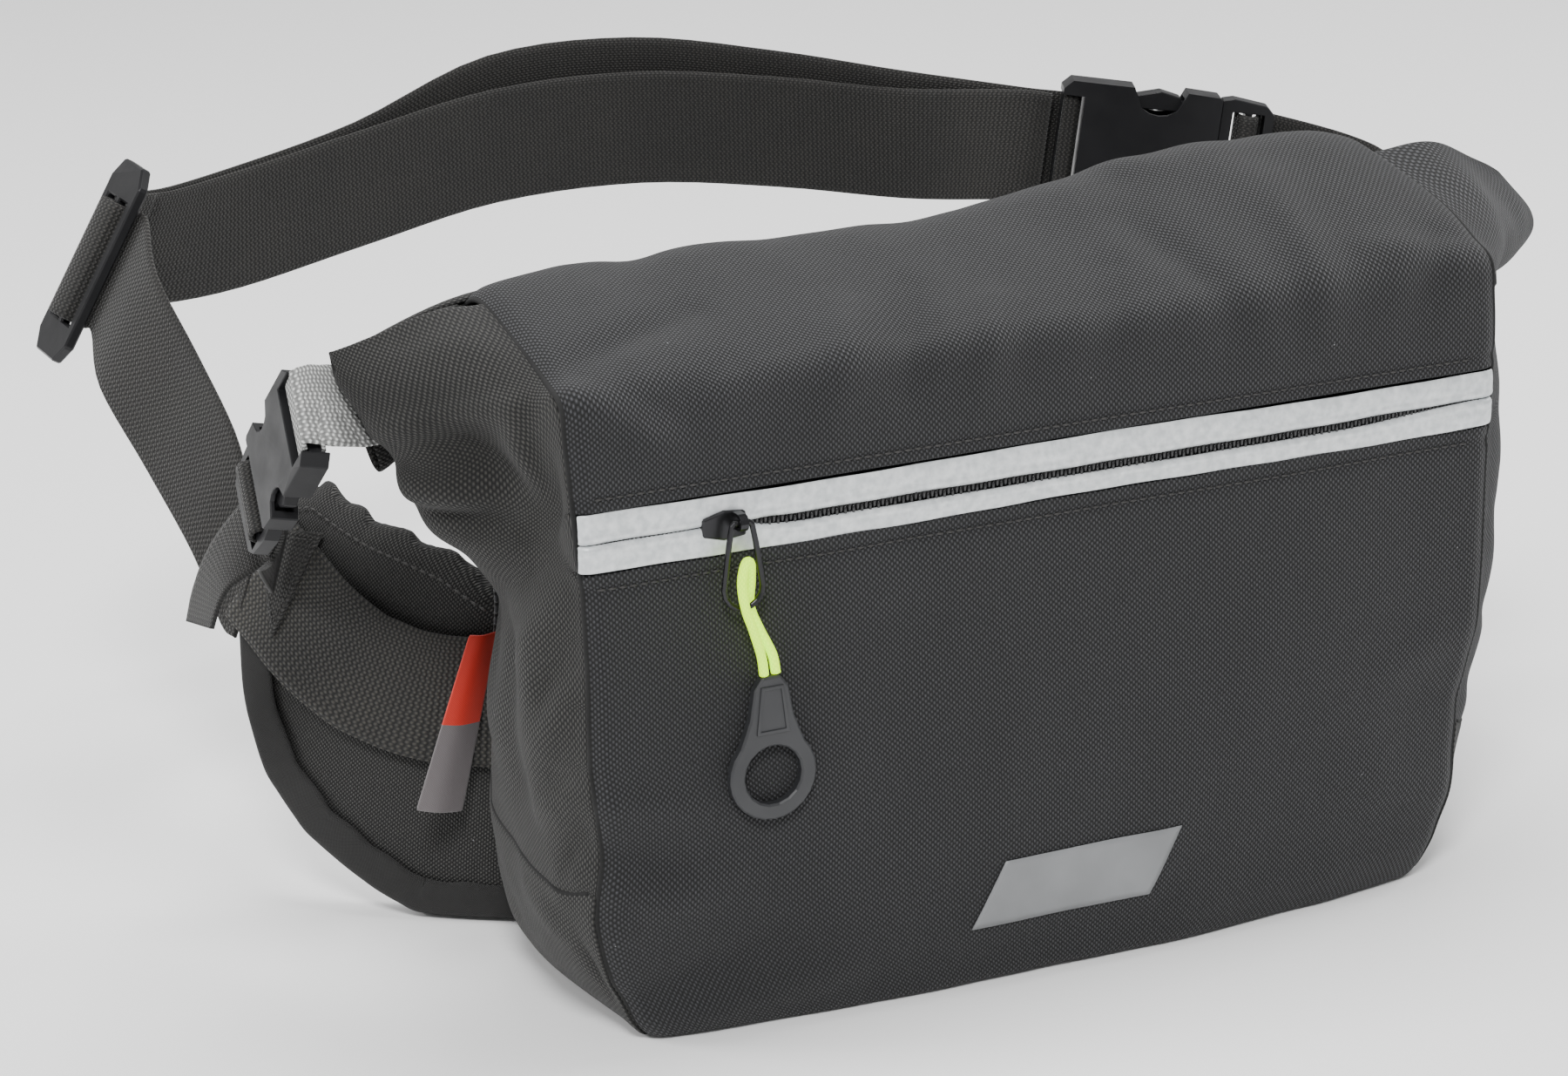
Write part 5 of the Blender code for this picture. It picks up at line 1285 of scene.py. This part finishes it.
def belt(finish):
    """Belt web from the left wing through the adjuster to the buckle, its return layer and right web."""
    adjuster = local_frame(*ADJUSTER_PLACE)
    tilt = Vector(ADJUSTER_PLACE[2])
    b = Buckle(0.0480, *BELT_PLACE)
    up = b.frame.to_3x3() @ Vector((0, 1, 0))
    leans = [tilt.lerp(Vector((0, 0, 1)), float(ease(k / 2.5))).normalized() for k in range(len(FAR_BELT))]
    tip = [wing_point(-1, s, z, 0.0029) for s, z in ((0.0830, 0.0957), (0.0900, 0.0985))]
    tip_up = wing_up(-1)
    rise = [(-0.1865, 0.1400, 0.1190), (-0.1905, 0.1650, 0.1390), (-0.1950, 0.1900, 0.1590)]
    rise = [(Vector(p), tip_up.lerp(tilt, (k + 1) / 3)) for k, p in enumerate(rise)]
    threading = [(-0.0150, -0.0046), (-0.0092, -0.0032), (-0.0066, 0.0), (-0.0050, 0.0036), (0.0, 0.0056)]
    threading += [(0.0050, 0.0036), (0.0066, 0.0), (0.0092, -0.0032), (0.0150, -0.0046), (0.0215, -0.0046)]
    outer = [(Vector(p), a) for p, a in zip(FAR_BELT, leans)]
    backs = [plan_normal(FAR_BELT, k) * REAR_BACK[k] for k in range(len(FAR_BELT))]
    outer = [(p + back + Vector((0, 0, lift)), a) for (p, a), back, lift in zip(outer, backs, REAR_LIFT)]
    wrap = in_frame(b.frame, bar_wrap(b, 0.0029))
    lead = in_frame(b.frame, [(b.bar - 0.016, -0.0029)])
    stations = [(p, tip_up) for p in tip] + rise + in_frame(adjuster, threading, -1)
    stations += outer + lead + wrap[:-1]
    strap = ribbon("belt_outer", smooth_web(stations, 5), BELT_WIDTH, BELT_THICK, finish["web"])
    bag_piece(strap, "black_webbing", "belt_web_left")
    loop = [(0.0215, -0.0068), (0.0150, -0.0068), (0.0090, -0.0060), (0.0052, -0.0040), (0.0034, -0.0012)]
    loop += [(0.0033, 0.0012), (0.0018, 0.0030), (-0.0018, 0.0030), (-0.0033, 0.0012), (-0.0034, -0.0018)]
    loop += [(-0.0020, -0.0048), (0.0030, -0.0074), (0.0090, -0.0090), (0.0150, -0.0090), (0.0215, -0.0090)]
    inner = [(Vector(p), a) for p, a in zip(FAR_BELT, leans)]
    ends = in_frame(b.frame, [(b.bar - 0.016, 0.0029), (b.bar - 0.0036, 0.0029)])
    run = (in_frame(adjuster, loop[:1], -1) + inner + ends)[::-1]
    beside = Vector((0.0014, -0.0018, 0.0))
    sewn = smooth_web(in_frame(adjuster, loop[-1:], -1) + inner[:2], 2)[1:-1]
    sewn = [(p + beside, a) for p, a in sewn]
    stations = run + in_frame(adjuster, loop[1:], -1) + sewn
    strap = ribbon("belt_inner", smooth_web(stations, 5), BELT_WIDTH, BELT_THICK, finish["web"])
    bag_piece(strap, "black_webbing", "belt_web_return")
    end, lean = sewn[-1]
    off = Vector((0.0012, -0.0026, 0)) * 0.6
    line = [tuple(end + lean * t + off) for t in np.linspace(-0.018, 0.018, 14)]
    stitches("sewn_end", line, (0.4, -0.9, 0), finish["thread"])
    belt_right(b, up, finish)


def belt_right(b, up, finish):
    """Web from the belt plug down to the right wing."""
    threading = [(0.0060, -0.0020), (0.0062, 0.0), (0.0076, 0.0034), (0.0098, 0.0048)]
    threading += [(0.0120, 0.0034), (0.0134, 0.0), (0.0150, -0.0040), (0.0195, -0.0052)]
    threaded = in_frame(b.frame, [(b.base + x, z) for x, z in threading])
    tip_up = wing_up(1)
    bend = [(Vector(p), up.lerp(tip_up, (k + 1) / 5)) for k, p in enumerate(RIGHT_BEND)]
    ends = ((0.1000, 0.1020), (0.0900, 0.0985), (0.0830, 0.0957))
    tip = [(wing_point(1, s, z, 0.0029), tip_up) for s, z in ends]
    stations = smooth_web(threaded + bend + tip, 5)
    strap = ribbon("belt_right_web", stations, BELT_WIDTH, BELT_THICK, finish["web"])
    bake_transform(strap)
    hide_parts("belt_web_right")


# ---------------------------------------------------------------- carried-over nodes
SIDE_PARTS = ("side_socket_{}", "side_plug_{}", "side_latch_{}_a", "side_latch_{}_b")
CARRIED = {
    "plastic": ["belt_socket", "belt_plug", "belt_latch_a", "belt_latch_b", "belt_adjuster"]
    + [part.format(name) for _, name in SIDES for part in SIDE_PARTS],
    "metal": ["zip_slider", "slider_bridge", "pull_bail"],
    "rubber": ["ring_pull"],
    "coil": ["zip_coil"],
    "board": ["base_board", "mouth_stiffener"],
    "lining": ["inner_liner", "pocket_wall"],
}


def finish_carried(finish):
    """Material, welded corners and rounded edges for the CAD nodes that stay."""
    for key, nodes in CARRIED.items():
        for name in nodes:
            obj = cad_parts[name]
            if not obj.material_slots:
                obj.data.materials.append(finish[key])
            for place in obj.material_slots:
                place.link = "OBJECT"
                place.material = finish[key]
            if key in ROUNDING:
                obj.modifiers.new("weld", "WELD").merge_threshold = 0.02 * MM
                round_edges(obj, ROUNDING[key], 3)


def build():
    set_camera()
    finish = make_finishes()
    pull_cord(finish)
    studio()
    lower = front_lower(finish)
    upper = front_top(finish)
    front = np.concatenate([lower, upper[:75]])
    left = side_panel(finish, -1, front)
    right = side_panel(finish, 1, front)
    base_panel(finish, left, right)
    rolled_mouth(finish)
    back_parts(finish)
    seam_lines(finish, lower, upper)
    front_print(finish)
    zip_parts(finish)
    pull_plaque(finish)
    wings(finish)
    label(finish)
    corner_tabs(finish)
    side_webs(finish)
    belt(finish)
    finish_carried(finish)


build()
